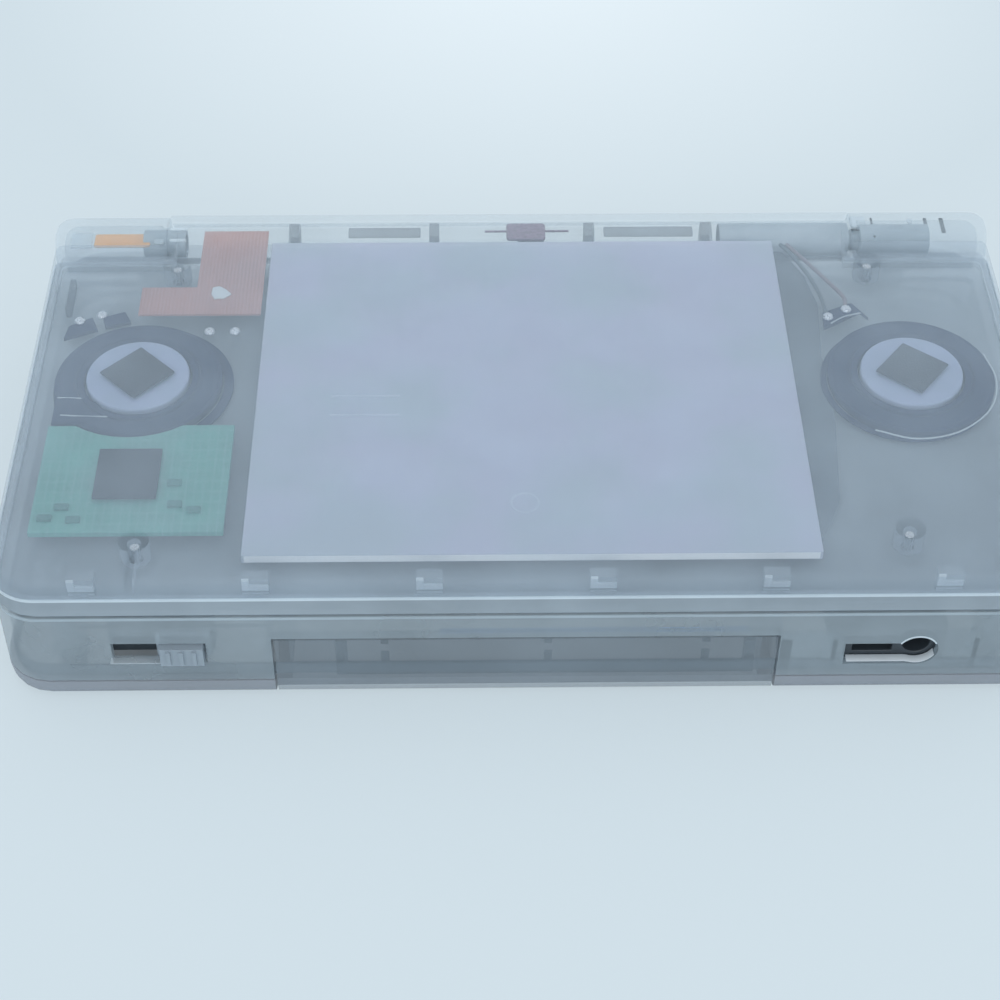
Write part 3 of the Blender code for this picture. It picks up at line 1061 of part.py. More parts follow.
def battery_pieces(finishes):
    """The battery, its flush cover in the floor and the cover's screw."""
    low = (BATTERY_LEFT_X, BATTERY_FRONT_Y, WALL + CLEARANCE)
    high = (BATTERY_RIGHT_X, BATTERY_BACK_Y, BOARD_BOTTOM_Z - BATTERY_TOP_GAP)
    battery = slab("battery", low, high, (BATTERY_EDGE,) * 4, BATTERY_EDGE / 2, BATTERY_EDGE / 2)
    finish(battery, finishes["battery"])
    cover_low, cover_high = battery_cover_corners(0.0)
    cover = slab("battery_cover", (*cover_low, 0.0), (*cover_high, WALL), (COVER_CORNER,) * 4)
    place = (BATTERY_X, cover_high[1] + CLEARANCE - COVER_SCREW_INSET)
    head_top = WALL / 2
    cut(
        cover,
        disc("head_sink", place, SCREW_HEAD_RADIUS + CLEARANCE, -OVERRUN, head_top + CLEARANCE),
        disc("screw_way", place, SCREW_SHAFT_RADIUS + CLEARANCE, 0.0, WALL + OVERRUN, segments=BORE_SEGMENTS),
    )
    finish(cover, finishes["shell"])
    head_low = CLEARANCE / 2
    top = head_top + COVER_SCREW_LENGTH
    finish(screw("battery_cover_screw", place, head_low, head_top, top, SCREW_HEAD_RADIUS), finishes["metal"])


def base_screws(finish_material):
    """The four screws that hold the base's shells together."""
    for name, x, y in BASE_BOSS_PLACES:
        head_high = SCREW_HEAD_SINK + SCREW_HEAD_HEIGHT
        top = head_high + BASE_SCREW_LENGTH
        made = screw(f"base_screw_{name}", (x, y), SCREW_HEAD_SINK, head_high, top, SCREW_HEAD_RADIUS)
        finish(made, finish_material)


def sockets(finishes):
    """The rear card slot, the front connector, the headphone socket and the charge socket."""
    half = CARD_WIDTH / 2
    wall = CARD_SLOT_WALL
    back = INNER_BACK_Y - CLEARANCE
    low = (-half - wall, STYLUS_BACK_Y + CARD_SLOT_STYLUS_GAP, CARD_BOTTOM_Z)
    slot = block("card_slot", low, (half + wall, back, CARD_BOTTOM_Z + CARD_HEIGHT + wall * 2))
    room_low = (-half, low[1] + CARD_SLOT_BACK_WALL, CARD_BOTTOM_Z + wall)
    cut(slot, block("card_room", room_low, (half, back + OVERRUN, room_low[2] + CARD_HEIGHT)))
    finish(slot, finishes["metal"])

    half = COVER_WIDTH / 2 - CONNECTOR_MARGIN
    front = BAY_BACK_Y - CONNECTOR_DEPTH + CLEARANCE
    low = (BAY_X - half, front, WALL + CLEARANCE)
    high = (BAY_X + half, front + CONNECTOR_DEPTH, BOARD_BOTTOM_Z - CLEARANCE)
    connector = block("cartridge_connector", low, high)
    middle = (low[2] + high[2]) / 2
    slot_half = half - COVER_THICKNESS
    slot_low = (BAY_X - slot_half, front - OVERRUN, middle - CONNECTOR_SLOT_HEIGHT / 2)
    slot_high = (BAY_X + slot_half, front + CONNECTOR_SLOT_DEPTH, middle + CONNECTOR_SLOT_HEIGHT / 2)
    finish(cut(connector, block("slot", slot_low, slot_high)), finishes["dark"])

    margin = JACK_BODY_MARGIN
    body_front = INNER_FRONT_Y + CLEARANCE
    low = (JACK_LEFT_X - margin, body_front, JACK_Z - JACK_NOSE_RADIUS - margin)
    high_z = JACK_Z + JACK_NOSE_RADIUS + margin / 2
    high = (JACK_X + JACK_NOSE_RADIUS + margin, body_front + JACK_BODY_DEPTH, high_z)
    body = block("headphone_jack", low, high)
    nose_front = -HALF_DEPTH + JACK_NOSE_RECESS
    join(body, prism("nose", jack_outline(0.0), nose_front, body_front + OVERRUN, "Y"))
    bore_end = nose_front + JACK_BORE_DEPTH
    half = JACK_CONTACT_HEIGHT / 2
    left = JACK_LEFT_X + half
    contact_low = (left, nose_front - OVERRUN, JACK_SLOT_Z - half)
    contact_high = (left + JACK_CONTACT_WIDTH, nose_front + JACK_CONTACT_DEPTH, JACK_SLOT_Z + half)
    cut(
        body,
        disc("plug_bore", (JACK_X, JACK_Z), JACK_BORE_RADIUS, nose_front - OVERRUN, bore_end, "Y"),
        block("contacts", contact_low, contact_high),
    )
    finish(body, finishes["dark"])

    half = (CHARGE_WIDTH / 2, CHARGE_HEIGHT / 2)
    low = (CHARGE_X - half[0], back - CHARGE_DEPTH, CHARGE_Z - half[1])
    charge = block("charge_socket", low, (CHARGE_X + half[0], back, CHARGE_Z + half[1]))
    mouth = (CHARGE_MOUTH_WIDTH / 2, CHARGE_MOUTH_HEIGHT / 2)
    mouth_low = (CHARGE_X - mouth[0], back - CHARGE_MOUTH_DEPTH, CHARGE_Z - mouth[1])
    room = block("mouth", mouth_low, (CHARGE_X + mouth[0], back + OVERRUN, CHARGE_Z + mouth[1]))
    finish(cut(charge, room), finishes["metal"])


def dust_cover(finish_material):
    """The cover of the cartridge bay: a flush front plate with two arms that slide between the bay's ribs."""
    front = -HALF_DEPTH
    low = (COVER_LEFT_X, front, 0.0)
    high = (COVER_RIGHT_X, front + COVER_THICKNESS, COVER_HEIGHT)
    cover = block("dust_cover", low, high)
    edge = (CORNER_RADIUS,) * 4
    plan_low = (-HALF_WIDTH, -HALF_DEPTH, 0.0)
    keep(cover, slab("cover_edge", plan_low, (HALF_WIDTH, HALF_DEPTH, HEIGHT), edge, BASE_EDGE_FILLET))
    arms = []
    for side in (-1, 1):
        outer = BAY_X + side * (COVER_WIDTH / 2 - CLEARANCE)
        inner = outer - side * COVER_ARM_WIDTH
        arm_low = (min(outer, inner), front + COVER_THICKNESS / 2, COVER_ARM_BOTTOM_Z)
        arm_high = (max(outer, inner), front + COVER_THICKNESS + COVER_ARM_LENGTH, COVER_ARM_TOP_Z)
        arms.append(block("arm", arm_low, arm_high))
    join(cover, *arms)
    return finish(cover, finish_material, (BAY_X, front, COVER_HEIGHT / 2))


def sliders(finishes):
    """The volume slider in the front wall, the power slider in the right wall and the switch behind each."""
    right = VOLUME_SLOT_RIGHT_X - CLEARANCE
    left = right - VOLUME_KNOB_WIDTH
    low_z = VOLUME_SLOT_BOTTOM_Z + CLEARANCE
    high_z = VOLUME_SLOT_BOTTOM_Z + VOLUME_SLOT_HEIGHT - CLEARANCE
    front = -HALF_DEPTH - VOLUME_KNOB_STAND
    flange_front = INNER_FRONT_Y + CLEARANCE
    flange_back = flange_front + SLIDER_FLANGE_THICKNESS
    knob = block("volume_slider", (left, front, low_z), (right, flange_front + CLEARANCE, high_z))
    flange_low = (left - VOLUME_FLANGE, flange_front, low_z - VOLUME_FLANGE)
    flange_high = (right + VOLUME_FLANGE, flange_back, high_z + VOLUME_FLANGE)
    added = [block("flange", flange_low, flange_high)]
    for index in range(VOLUME_RIDGE_COUNT):
        x = (left + right) / 2 + (index - (VOLUME_RIDGE_COUNT - 1) / 2) * VOLUME_RIDGE_PITCH
        ridge_low = (x - VOLUME_RIDGE_WIDTH / 2, front - VOLUME_RIDGE_HEIGHT, low_z + VOLUME_RIDGE_HEIGHT)
        ridge_high = (x + VOLUME_RIDGE_WIDTH / 2, front + OVERRUN, high_z - VOLUME_RIDGE_HEIGHT)
        added.append(block("ridge", ridge_low, ridge_high))
    join(knob, *added)
    finish(knob, finishes["shell"], ((left + right) / 2, front, (low_z + high_z) / 2))

    switch_front = flange_back + CLEARANCE
    switch_low = (VOLUME_SLOT_LEFT_X - VOLUME_FLANGE, switch_front, low_z - VOLUME_FLANGE)
    switch_back = switch_front + VOLUME_SWITCH_DEPTH
    switch_high = (VOLUME_SLOT_RIGHT_X + VOLUME_FLANGE, switch_back, high_z + VOLUME_FLANGE)
    finish(block("volume_switch", switch_low, switch_high), finishes["dark"])

    back_y = POWER_Y - POWER_SLOT_DEPTH / 2 + CLEARANCE
    low_z = POWER_Z - POWER_SLOT_HEIGHT / 2 + CLEARANCE
    high_z = POWER_Z + POWER_SLOT_HEIGHT / 2 - CLEARANCE
    inner = HALF_WIDTH - WALL - CLEARANCE
    knob_high = (HALF_WIDTH - CLEARANCE / 2, back_y + POWER_KNOB_DEPTH, high_z)
    slider = block("power_slider", (inner - CLEARANCE, back_y, low_z), knob_high)
    flange_low = (inner - SLIDER_FLANGE_THICKNESS, back_y - POWER_FLANGE, low_z - POWER_FLANGE)
    flange_high = (inner, back_y + POWER_KNOB_DEPTH + POWER_FLANGE, high_z + POWER_FLANGE)
    join(slider, block("flange", flange_low, flange_high))
    finish(slider, finishes["shell"], (HALF_WIDTH, back_y + POWER_KNOB_DEPTH / 2, POWER_Z))

    high_x = inner - SLIDER_FLANGE_THICKNESS - CLEARANCE
    low = (high_x - POWER_SWITCH_WIDTH, POWER_Y - POWER_SWITCH_DEPTH / 2, ON_BOARD_Z)
    high = (high_x, POWER_Y + POWER_SWITCH_DEPTH / 2, ON_BOARD_Z + POWER_SWITCH_HEIGHT)
    finish(block("power_switch", low, high), finishes["metal"])


def trigger(side, finishes):
    """A shoulder trigger with its boss and web, its pin and its torsion spring. Side is -1 for left."""
    name = "left" if side < 0 else "right"
    top = TRIGGER_TOP_Z
    radii = (CORNER_RADIUS,) * 4
    low = (-HALF_WIDTH, -HALF_DEPTH, TRIGGER_BOTTOM_Z)
    skin = slab(f"trigger_{name}", low, (HALF_WIDTH, HALF_DEPTH, top), radii)
    inner_radii = (CORNER_RADIUS - TRIGGER_SKIN,) * 4
    skin_low = (-HALF_WIDTH + TRIGGER_SKIN, -HALF_DEPTH + TRIGGER_SKIN, 0.0)
    skin_high = (HALF_WIDTH - TRIGGER_SKIN, HALF_DEPTH - TRIGGER_SKIN, HEIGHT)
    inside = slab("inside", skin_low, skin_high, inner_radii)
    cut(skin, inside)
    inner = side * TRIGGER_INNER_X
    outer = side * (HALF_WIDTH + OVERRUN)
    part_low = (min(inner, outer), TRIGGER_FRONT_Y, 0.0)
    keep(skin, block("part", part_low, (max(inner, outer), HALF_DEPTH + OVERRUN, HEIGHT)))
    pivot = (side * TRIGGER_PIVOT_X, TRIGGER_PIVOT_Y)
    spring_top = TRIGGER_BOTTOM_Z + SPRING_PITCH * SPRING_TURNS + CLEARANCE * 2
    boss = disc("boss", pivot, TRIGGER_BOSS_RADIUS, spring_top, top)
    web_low = (pivot[0] - TRIGGER_WEB / 2, pivot[1], spring_top)
    web = block("web", web_low, (pivot[0] + TRIGGER_WEB / 2, HALF_DEPTH - TRIGGER_SKIN / 2, top))
    join(skin, boss, web)
    cut(skin, disc("bore", pivot, PIN_BORE_RADIUS, 0.0, HEIGHT, segments=BORE_SEGMENTS))
    finish(skin, finishes["shell"], (*pivot, (TRIGGER_BOTTOM_Z + top) / 2))

    pin_top = TOP_UNDERSIDE + PIN_SINK
    pin = disc(f"trigger_pin_{name}", pivot, PIN_RADIUS, PIN_BOTTOM_Z, pin_top, segments=BORE_SEGMENTS)
    finish(pin, finishes["metal"])

    curve = bpy.data.curves.new(f"trigger_spring_{name}", "CURVE")
    curve.dimensions = "3D"
    curve.bevel_depth = SPRING_WIRE_RADIUS
    curve.bevel_resolution = 1
    curve.use_fill_caps = True
    spline = curve.splines.new("POLY")
    count = SPRING_TURNS * SPRING_POINTS
    spline.points.add(count)
    for index, point in enumerate(spline.points):
        angle = 2 * math.pi * index / SPRING_POINTS
        z = TRIGGER_BOTTOM_Z + CLEARANCE + SPRING_PITCH * index / SPRING_POINTS
        x = pivot[0] + SPRING_RADIUS * math.cos(angle)
        y = pivot[1] + SPRING_RADIUS * math.sin(angle)
        point.co = (x, y, z, 1.0)
    curve.materials.append(finishes["metal"])
    spring = bpy.data.objects.new(f"trigger_spring_{name}", curve)
    bpy.context.scene.collection.objects.link(spring)


def controls(finishes):
    """The direction pad, the round buttons and the rubber membranes under them."""
    low = ON_BOARD_Z
    top = low + MEMBRANE_THICKNESS
    centre = (DPAD_X, CONTROL_Y)
    membrane = disc("dpad_membrane", centre, MEMBRANE_RADIUS, low, top, segments=MEMBRANE_SEGMENTS)
    domes = [
        disc("dome", place, DOME_RADIUS, low, top + DOME_HEIGHT, segments=BORE_SEGMENTS)
        for place in circle(centre, DPAD_DOME_RADIUS_AT, 4)
    ]
    finish(join(membrane, *domes), finishes["rubber"])

    centre = (BUTTON_CLUSTER_X, CONTROL_Y)
    membrane = disc("action_membrane", centre, MEMBRANE_RADIUS, low, top, segments=MEMBRANE_SEGMENTS)
    half = MEMBRANE_TAIL_WIDTH / 2
    tail_low = (SMALL_BUTTON_X - half, SELECT_Y - MEMBRANE_TAIL_MARGIN, low)
    tail = block("tail", tail_low, (SMALL_BUTTON_X + half, CONTROL_Y, top))
    domes = [
        disc("dome", (x, y), min(DOME_RADIUS, radius), low, top + DOME_HEIGHT, segments=BORE_SEGMENTS)
        for _, x, y, radius in button_places()
    ]
    finish(join(membrane, tail, *domes), finishes["rubber"])

    pad_top = BASE_FACE + CONTROL_STAND
    centre = (DPAD_X, CONTROL_Y)
    cross = prism("dpad", cross_outline(DPAD_SPAN / 2, DPAD_ARM / 2), DPAD_BOTTOM_Z, pad_top)
    flange_top = DPAD_BOTTOM_Z + DPAD_FLANGE_THICKNESS
    count = MEMBRANE_SEGMENTS
    join(cross, disc("flange", centre, DPAD_FLANGE_RADIUS, DPAD_BOTTOM_Z, flange_top, segments=count))
    pivot_low = top + CLEARANCE
    room_top = pivot_low + PIVOT_HEIGHT + CLEARANCE
    cut(cross, disc("room", centre, PIVOT_RADIUS + CLEARANCE, DPAD_BOTTOM_Z - OVERRUN, room_top))
    pivot = (*centre, pivot_low + PIVOT_AXIS_HEIGHT)
    finish(cross, finishes["button"], pivot)
    hub = disc("dpad_pivot", centre, PIVOT_RADIUS, pivot_low, pivot_low + PIVOT_HEIGHT)
    finish(hub, finishes["rubber"], pivot)

    for name, x, y, radius in button_places():
        flange_top = TOP_UNDERSIDE - CLEARANCE
        button = disc(name, (x, y), radius + BUTTON_FLANGE, BUTTON_FLANGE_BOTTOM_Z, flange_top)
        stem_top = pad_top - BUTTON_CROWN
        crown = [
            [(px, py, z) for px, py in circle((x, y), ring_radius, BUTTON_SEGMENTS)]
            for z, ring_radius in (
                (flange_top - OVERRUN / 2, radius),
                (stem_top, radius),
                (pad_top, radius - BUTTON_CROWN * 2),
            )
        ]
        join(button, loft("stem", crown))
        finish(button, finishes["button"], (x, y, flange_top))


def stylus(finish_material):
    """The stylus in its tunnel: a straight barrel with a tapered point at its left end."""
    end = HALF_WIDTH - STYLUS_HEAD_INSET
    start = BATTERY_RIGHT_X + STYLUS_BATTERY_GAP
    sections = (
        (start, STYLUS_TIP_RADIUS),
        (start + STYLUS_TIP_LENGTH / 4, STYLUS_NECK_RADIUS),
        (start + STYLUS_TIP_LENGTH, STYLUS_RADIUS),
        (end - STYLUS_RADIUS / 2, STYLUS_RADIUS),
        (end, STYLUS_RADIUS - STYLUS_HEAD_INSET),
    )
    axis = (STYLUS_Y, STYLUS_Z)
    rings = [[(x, y, z) for y, z in circle(axis, radius, STYLUS_SEGMENTS)] for x, radius in sections]
    return finish(loft("stylus", rings), finish_material, (end, STYLUS_Y, STYLUS_Z))


def main():
    """Clears the scene and makes every piece."""
    for old in list(bpy.data.objects):
        bpy.data.objects.remove(old)
    finishes = {
        "shell": material("frosted_shell", (0.55, 0.63, 0.70), 0.45),
        "clear": material("clear_window", (0.75, 0.80, 0.85), 0.1),
        "glass": material("display_glass", (0.16, 0.18, 0.22), 0.25),
        "plate": material("plate_metal", (0.50, 0.56, 0.66), 0.35, 0.8),
        "metal": material("bright_metal", (0.62, 0.64, 0.68), 0.3, 1.0),
        "dark": material("dark_plastic", (0.18, 0.20, 0.24), 0.5),
        "board": material("green_board", (0.22, 0.50, 0.48), 0.5),
        "flex": material("salmon_flex", (0.62, 0.40, 0.34), 0.5),
        "speaker": material("speaker_plastic", (0.30, 0.36, 0.46), 0.5),
        "magnet": material("magnet_steel", (0.58, 0.64, 0.72), 0.3, 0.8),
        "foam": material("foam_pad", (0.34, 0.40, 0.50), 0.9),
        "rubber": material("grey_rubber", (0.45, 0.47, 0.50), 0.8),
        "button": material("button_plastic", (0.72, 0.75, 0.78), 0.4),
        "battery": material("battery_wrap", (0.25, 0.28, 0.33), 0.5),
    }
    base_bottom_shell(finishes["shell"])
    base_top_shell(finishes["shell"])
    lid_outer_shell(finishes["shell"])
    lid_inner_bezel(finishes["shell"])
    lid_pieces(finishes)
    hinge_pieces(finishes)
    displays(finishes)
    main_board(finishes["board"])
    battery_pieces(finishes)
    base_screws(finishes["metal"])
    sockets(finishes)
    dust_cover(finishes["shell"])
    sliders(finishes)
    for side in (-1, 1):
        trigger(side, finishes)
    controls(finishes)
    stylus(finishes["shell"])


main()
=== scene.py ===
"""The looks of a closed clamshell handheld game console in hazy, see-through plastic.

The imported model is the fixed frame. Every piece built here is worked out from it, in metres, with X to
the right of the person who holds the console, Y away from them and Z up.
"""

import json
import logging
import math
from collections.abc import Sequence
from dataclasses import dataclass, field
from enum import Enum

import bmesh
import bpy
import numpy as np
from mathutils import Matrix, Vector

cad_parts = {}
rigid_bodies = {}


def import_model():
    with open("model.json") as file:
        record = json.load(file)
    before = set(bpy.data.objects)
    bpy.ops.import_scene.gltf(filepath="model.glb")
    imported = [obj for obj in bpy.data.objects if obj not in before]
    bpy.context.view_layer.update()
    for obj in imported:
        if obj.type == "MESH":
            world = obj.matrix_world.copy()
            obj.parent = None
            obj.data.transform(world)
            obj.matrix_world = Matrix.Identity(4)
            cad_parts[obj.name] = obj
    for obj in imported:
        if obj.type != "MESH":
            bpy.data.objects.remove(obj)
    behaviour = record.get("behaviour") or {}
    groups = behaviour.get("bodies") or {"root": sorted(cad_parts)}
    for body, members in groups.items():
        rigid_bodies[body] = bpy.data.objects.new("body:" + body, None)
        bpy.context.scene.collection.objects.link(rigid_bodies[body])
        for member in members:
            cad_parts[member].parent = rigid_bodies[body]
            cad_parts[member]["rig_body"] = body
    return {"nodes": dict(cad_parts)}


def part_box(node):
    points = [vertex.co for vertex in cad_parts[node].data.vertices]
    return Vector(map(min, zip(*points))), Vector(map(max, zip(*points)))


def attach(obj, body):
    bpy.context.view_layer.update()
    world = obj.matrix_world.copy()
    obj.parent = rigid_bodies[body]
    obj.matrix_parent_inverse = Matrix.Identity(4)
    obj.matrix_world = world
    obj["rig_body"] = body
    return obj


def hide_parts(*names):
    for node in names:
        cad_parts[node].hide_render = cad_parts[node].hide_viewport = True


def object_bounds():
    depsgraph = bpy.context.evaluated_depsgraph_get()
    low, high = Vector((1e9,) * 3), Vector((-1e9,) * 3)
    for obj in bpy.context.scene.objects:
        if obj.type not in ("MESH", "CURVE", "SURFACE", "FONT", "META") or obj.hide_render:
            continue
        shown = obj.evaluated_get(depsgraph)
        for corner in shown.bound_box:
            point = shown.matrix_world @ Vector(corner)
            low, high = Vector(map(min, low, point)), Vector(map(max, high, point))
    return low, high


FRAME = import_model()
CAD_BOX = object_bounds()
LOG = logging.getLogger("console")

MM = 0.001
Array = np.ndarray
Colour = tuple[float, float, float]
Point = tuple[float, float, float]
Span = tuple[float, float]
Outline = tuple[Span, ...]
Block = tuple[Span, Span, Span]
Board = tuple[float, float, float, float]


class Body(Enum):
    """The moving bodies that new pieces ride on."""

    BASE = "base"
    LID = "lid"
    DUST_COVER = "dust_cover"


class Slot(Enum):
    """The record's material slots."""

    SHELL = "frosted_shell"
    PLATE = "plate_metal"
    BRIGHT = "bright_metal"
    DARK = "dark_plastic"
    BOARD = "green_board"
    FLEX = "salmon_flex"
    SPEAKER = "speaker_plastic"
    MAGNET = "magnet_steel"
    FOAM = "foam_pad"
    RUBBER = "grey_rubber"
    BUTTON = "button_plastic"
    WRAP = "battery_wrap"


# Surfaces


@dataclass
class Surface:
    """A closed surface: its points, one row each, and its faces as tuples of point numbers."""

    points: Array
    faces: list[tuple[int, ...]]

    def moved(self, offset: Sequence[float]) -> "Surface":
        """The same surface, moved by offset."""
        return Surface(self.points + np.asarray(offset), self.faces)


def lattice(rows: Array, closed: bool = False) -> Surface:
    """Joins rings of points by quads.

    Point j of ring i is joined to point j + 1 of it and to the same two of ring i + 1.

    Args:
        rows: Points of shape (rings, points of a ring, 3).
        closed: Whether the last ring joins the first, as on a torus. Otherwise both ends get one face.

    Returns:
        The closed surface.
    """
    count, around = rows.shape[:2]
    number = np.arange(count * around).reshape(count, around)
    if closed:
        number = np.vstack((number, number[:1]))
    here, there = number[:-1], number[1:]
    quads = np.stack((here, np.roll(here, -1, 1), np.roll(there, -1, 1), there), axis=-1).reshape(-1, 4)
    faces = [tuple(quad) for quad in quads.tolist()]
    if not closed:
        faces += [tuple(number[0, ::-1].tolist()), tuple(number[-1].tolist())]
    return Surface(rows.reshape(-1, 3), faces)


def joined(*surfaces: Surface) -> Surface:
    """Several surfaces as one."""
    starts = np.cumsum([0] + [len(surface.points) for surface in surfaces[:-1]])
    faces = [
        tuple(number + int(start) for number in face)
        for surface, start in zip(surfaces, starts)
        for face in surface.faces
    ]
    return Surface(np.vstack([surface.points for surface in surfaces]), faces)


def corner_turns(steps: int) -> tuple[Array, Array]:
    """Directions round four rounded corners, and which corner each one belongs to.

    Corner k turns from 90k to 90k + 90 degrees.

    Args:
        steps: Points on each corner.

    Returns:
        The unit directions, and the signs of the corner that each belongs to, both of shape (4 steps, 2).
    """
    turn = np.linspace(0, math.pi / 2, steps)
    angles = (np.arange(4)[:, None] * (math.pi / 2) + turn).ravel()
    signs = np.repeat([(1, 1), (-1, 1), (-1, -1), (1, -1)], steps, axis=0)
    return np.column_stack((np.cos(angles), np.sin(angles))), signs


def slab(low: Point, high: Point, corner: float, edge: float, steps: int = 5) -> Surface:
    """A block with rounded upright corners and rounded top and bottom edges.

    Ring i is the outline of the block drawn in by the edge radius times 1 - sin t, at the height that
    the same t gives on the quarter circle of the edge. A corner keeps its centre as it is drawn in.

    Args:
        low: Lowest corner.
        high: Highest corner.
        corner: Radius of the upright corners.
        edge: Radius of the top and bottom edges, less than corner and than half the height.
        steps: Points on each arc.

    Returns:
        The closed surface.
    """
    low, high = np.asarray(low, float), np.asarray(high, float)
    direction, signs = corner_turns(steps)
    middle = (low + high)[:2] / 2
    centres = middle + signs * ((high - low)[:2] / 2 - corner)
    turn = np.linspace(0, math.pi / 2, steps)
    inset = edge * (1 - np.sin(turn))
    rise = edge * (1 - np.cos(turn))
    inset = np.concatenate((inset, inset[::-1]))
    height = np.concatenate((low[2] + rise, high[2] - rise[::-1]))
    flat = centres + (corner - inset)[:, None, None] * direction
    level = np.broadcast_to(height[:, None, None], (*flat.shape[:2], 1))
    return lattice(np.concatenate((flat, level), axis=2))


def revolved(profile: Sequence[Span], centre: Point, steps: int = 48, ring: bool = False) -> Surface:
    """A profile turned about an upright line.

    Point i, j is the centre plus radius i in the direction of angle j, at height i.

    Args:
        profile: (radius, height) pairs, heights measured from the centre.
        centre: Foot of the line.
        steps: Points in a turn.
        ring: Whether the profile is a closed loop, which leaves a hole in the middle.

    Returns:
        The closed surface.
    """
    radius, height = np.asarray(profile, float).T
    angle = np.linspace(0, 2 * math.pi, steps, endpoint=False)
    x = radius[:, None] * np.cos(angle)
    y = radius[:, None] * np.sin(angle)
    z = np.broadcast_to(height[:, None], x.shape)
    return lattice(np.stack((x, y, z), axis=-1) + np.asarray(centre), closed=ring)


def circle_profile(radius: float, sides: int) -> Array:
    """Points round a circle, as (side, rise) pairs."""
    angle = np.linspace(0, 2 * math.pi, sides, endpoint=False)
    return radius * np.column_stack((np.cos(angle), np.sin(angle)))


def oblong_profile(width: float, height: float, corner: float, steps: int = 3) -> Array:
    """Points round a rectangle with rounded corners, as (side, rise) pairs."""
    direction, signs = corner_turns(steps)
    return signs * (np.array((width, height)) / 2 - corner) + corner * direction


def smooth_path(stops: Sequence[Point], count: int) -> Array:
    """A path through all the stops.

    Between two stops it is the Catmull-Rom cubic of them and their neighbours.

    Args:
        stops: Points that the path goes through.
        count: Points on the path.

    Returns:
        Points of shape (count, 3).
    """
    stops = np.asarray(stops, float)
    padded = np.vstack((2 * stops[0] - stops[1], stops, 2 * stops[-1] - stops[-2]))
    along = np.linspace(0, len(stops) - 1, count)
    index = np.minimum(along.astype(int), len(stops) - 2)
    u = (along - index)[:, None]
    a, b, c, d = (padded[index + k] for k in range(4))
    return 0.5 * (2 * b + (c - a) * u + (2 * a - 5 * b + 4 * c - d) * u**2 + (3 * b - a - 3 * c + d) * u**3)


def swept(path: Array, profile: Array, up: Point = (0, 0, 1), closed: bool = False) -> Surface:
    """A profile carried along a path.

    The side direction is up crossed with the path's own direction, and the rise is the path's
    direction crossed with the side. Each ring is the profile drawn in those two directions.

    Args:
        path: Points of shape (n, 3).
        profile: (side, rise) pairs.
        up: A direction that the path never runs along.
        closed: Whether the path is a loop.

    Returns:
        The closed surface.
    """
    if closed:
        ahead = np.roll(path, -1, 0) - np.roll(path, 1, 0)
    else:
        ahead = np.gradient(path, axis=0)
    ahead = ahead / np.linalg.norm(ahead, axis=1, keepdims=True)
    side = np.cross(np.asarray(up, float), ahead)
    side = side / np.linalg.norm(side, axis=1, keepdims=True)
    rise = np.cross(ahead, side)
    rows = path[:, None] + side[:, None] * profile[None, :, :1] + rise[:, None] * profile[None, :, 1:]
    return lattice(rows, closed=closed)


def wire(stops: Sequence[Point], radius: float, count: int = 40, sides: int = 10) -> Surface:
    """A round wire through the stops."""
    return swept(smooth_path(stops, count), circle_profile(radius, sides))


def dome(centre: Point, radius: float, height: float, steps: int = 20) -> Surface:
    """A blob on a flat face: its radius falls as the cosine of t while its height grows as the sine."""
    turn = np.linspace(0, math.pi / 2 * 0.97, 7)
    profile = np.column_stack((radius * np.cos(turn), height * np.sin(turn)))
    return revolved(profile, centre, steps)


def tablet(x: Span, y: Span, z: Span, corner: float = 0.2) -> Surface:
    """A small slab between two places along each axis, all in millimetres."""
    low, high = (tuple(place * MM for place in places) for places in zip(x, y, z))
    edge = min(corner / 2, (z[1] - z[0]) / 3)
    return slab(low, high, corner * MM, edge * MM, 4)


def tablets(blocks: Sequence[Block]) -> Surface:
    """Several small slabs as one surface."""
    return joined(*(tablet(*block) for block in blocks))


def plank(outline: Sequence[Span], low: float, high: float, upright: bool = False) -> Surface:
    """A flat outline given a thickness: the same points at its start and at its end.

    Args:
        outline: Corners, in order.
        low: Where the thickness starts.
        high: Where it ends.
        upright: Whether the outline is drawn in X and Z and its thickness runs along Y.

    Returns:
        The closed surface.
    """
    flat = np.asarray(outline, float)
    deep = np.full((len(flat), 1), 1.0)
    columns = (flat[:, :1], deep, flat[:, 1:]) if upright else (flat, deep)
    axis = 1 if upright else 2
    rows = np.stack([np.hstack(columns)] * 2)
    rows[0, :, axis] = low
    rows[1, :, axis] = high
    return lattice(rows)


def boards(boxes: Sequence[Board], front: float, back: float) -> Surface:
    """Upright boards, each from a left, lower to a right, upper place in X and Z, all in millimetres."""
    outlines = [np.array([(a, b), (c, b), (c, d), (a, d)]) * MM for a, b, c, d in boxes]
    return joined(*(plank(outline, front * MM, back * MM, True) for outline in outlines))


# Finishes


@dataclass(frozen=True)
class HazeStop:
    """The tint and the haze of a moulding at one place along Y."""

    y: float
    tint: Colour
    haze: float


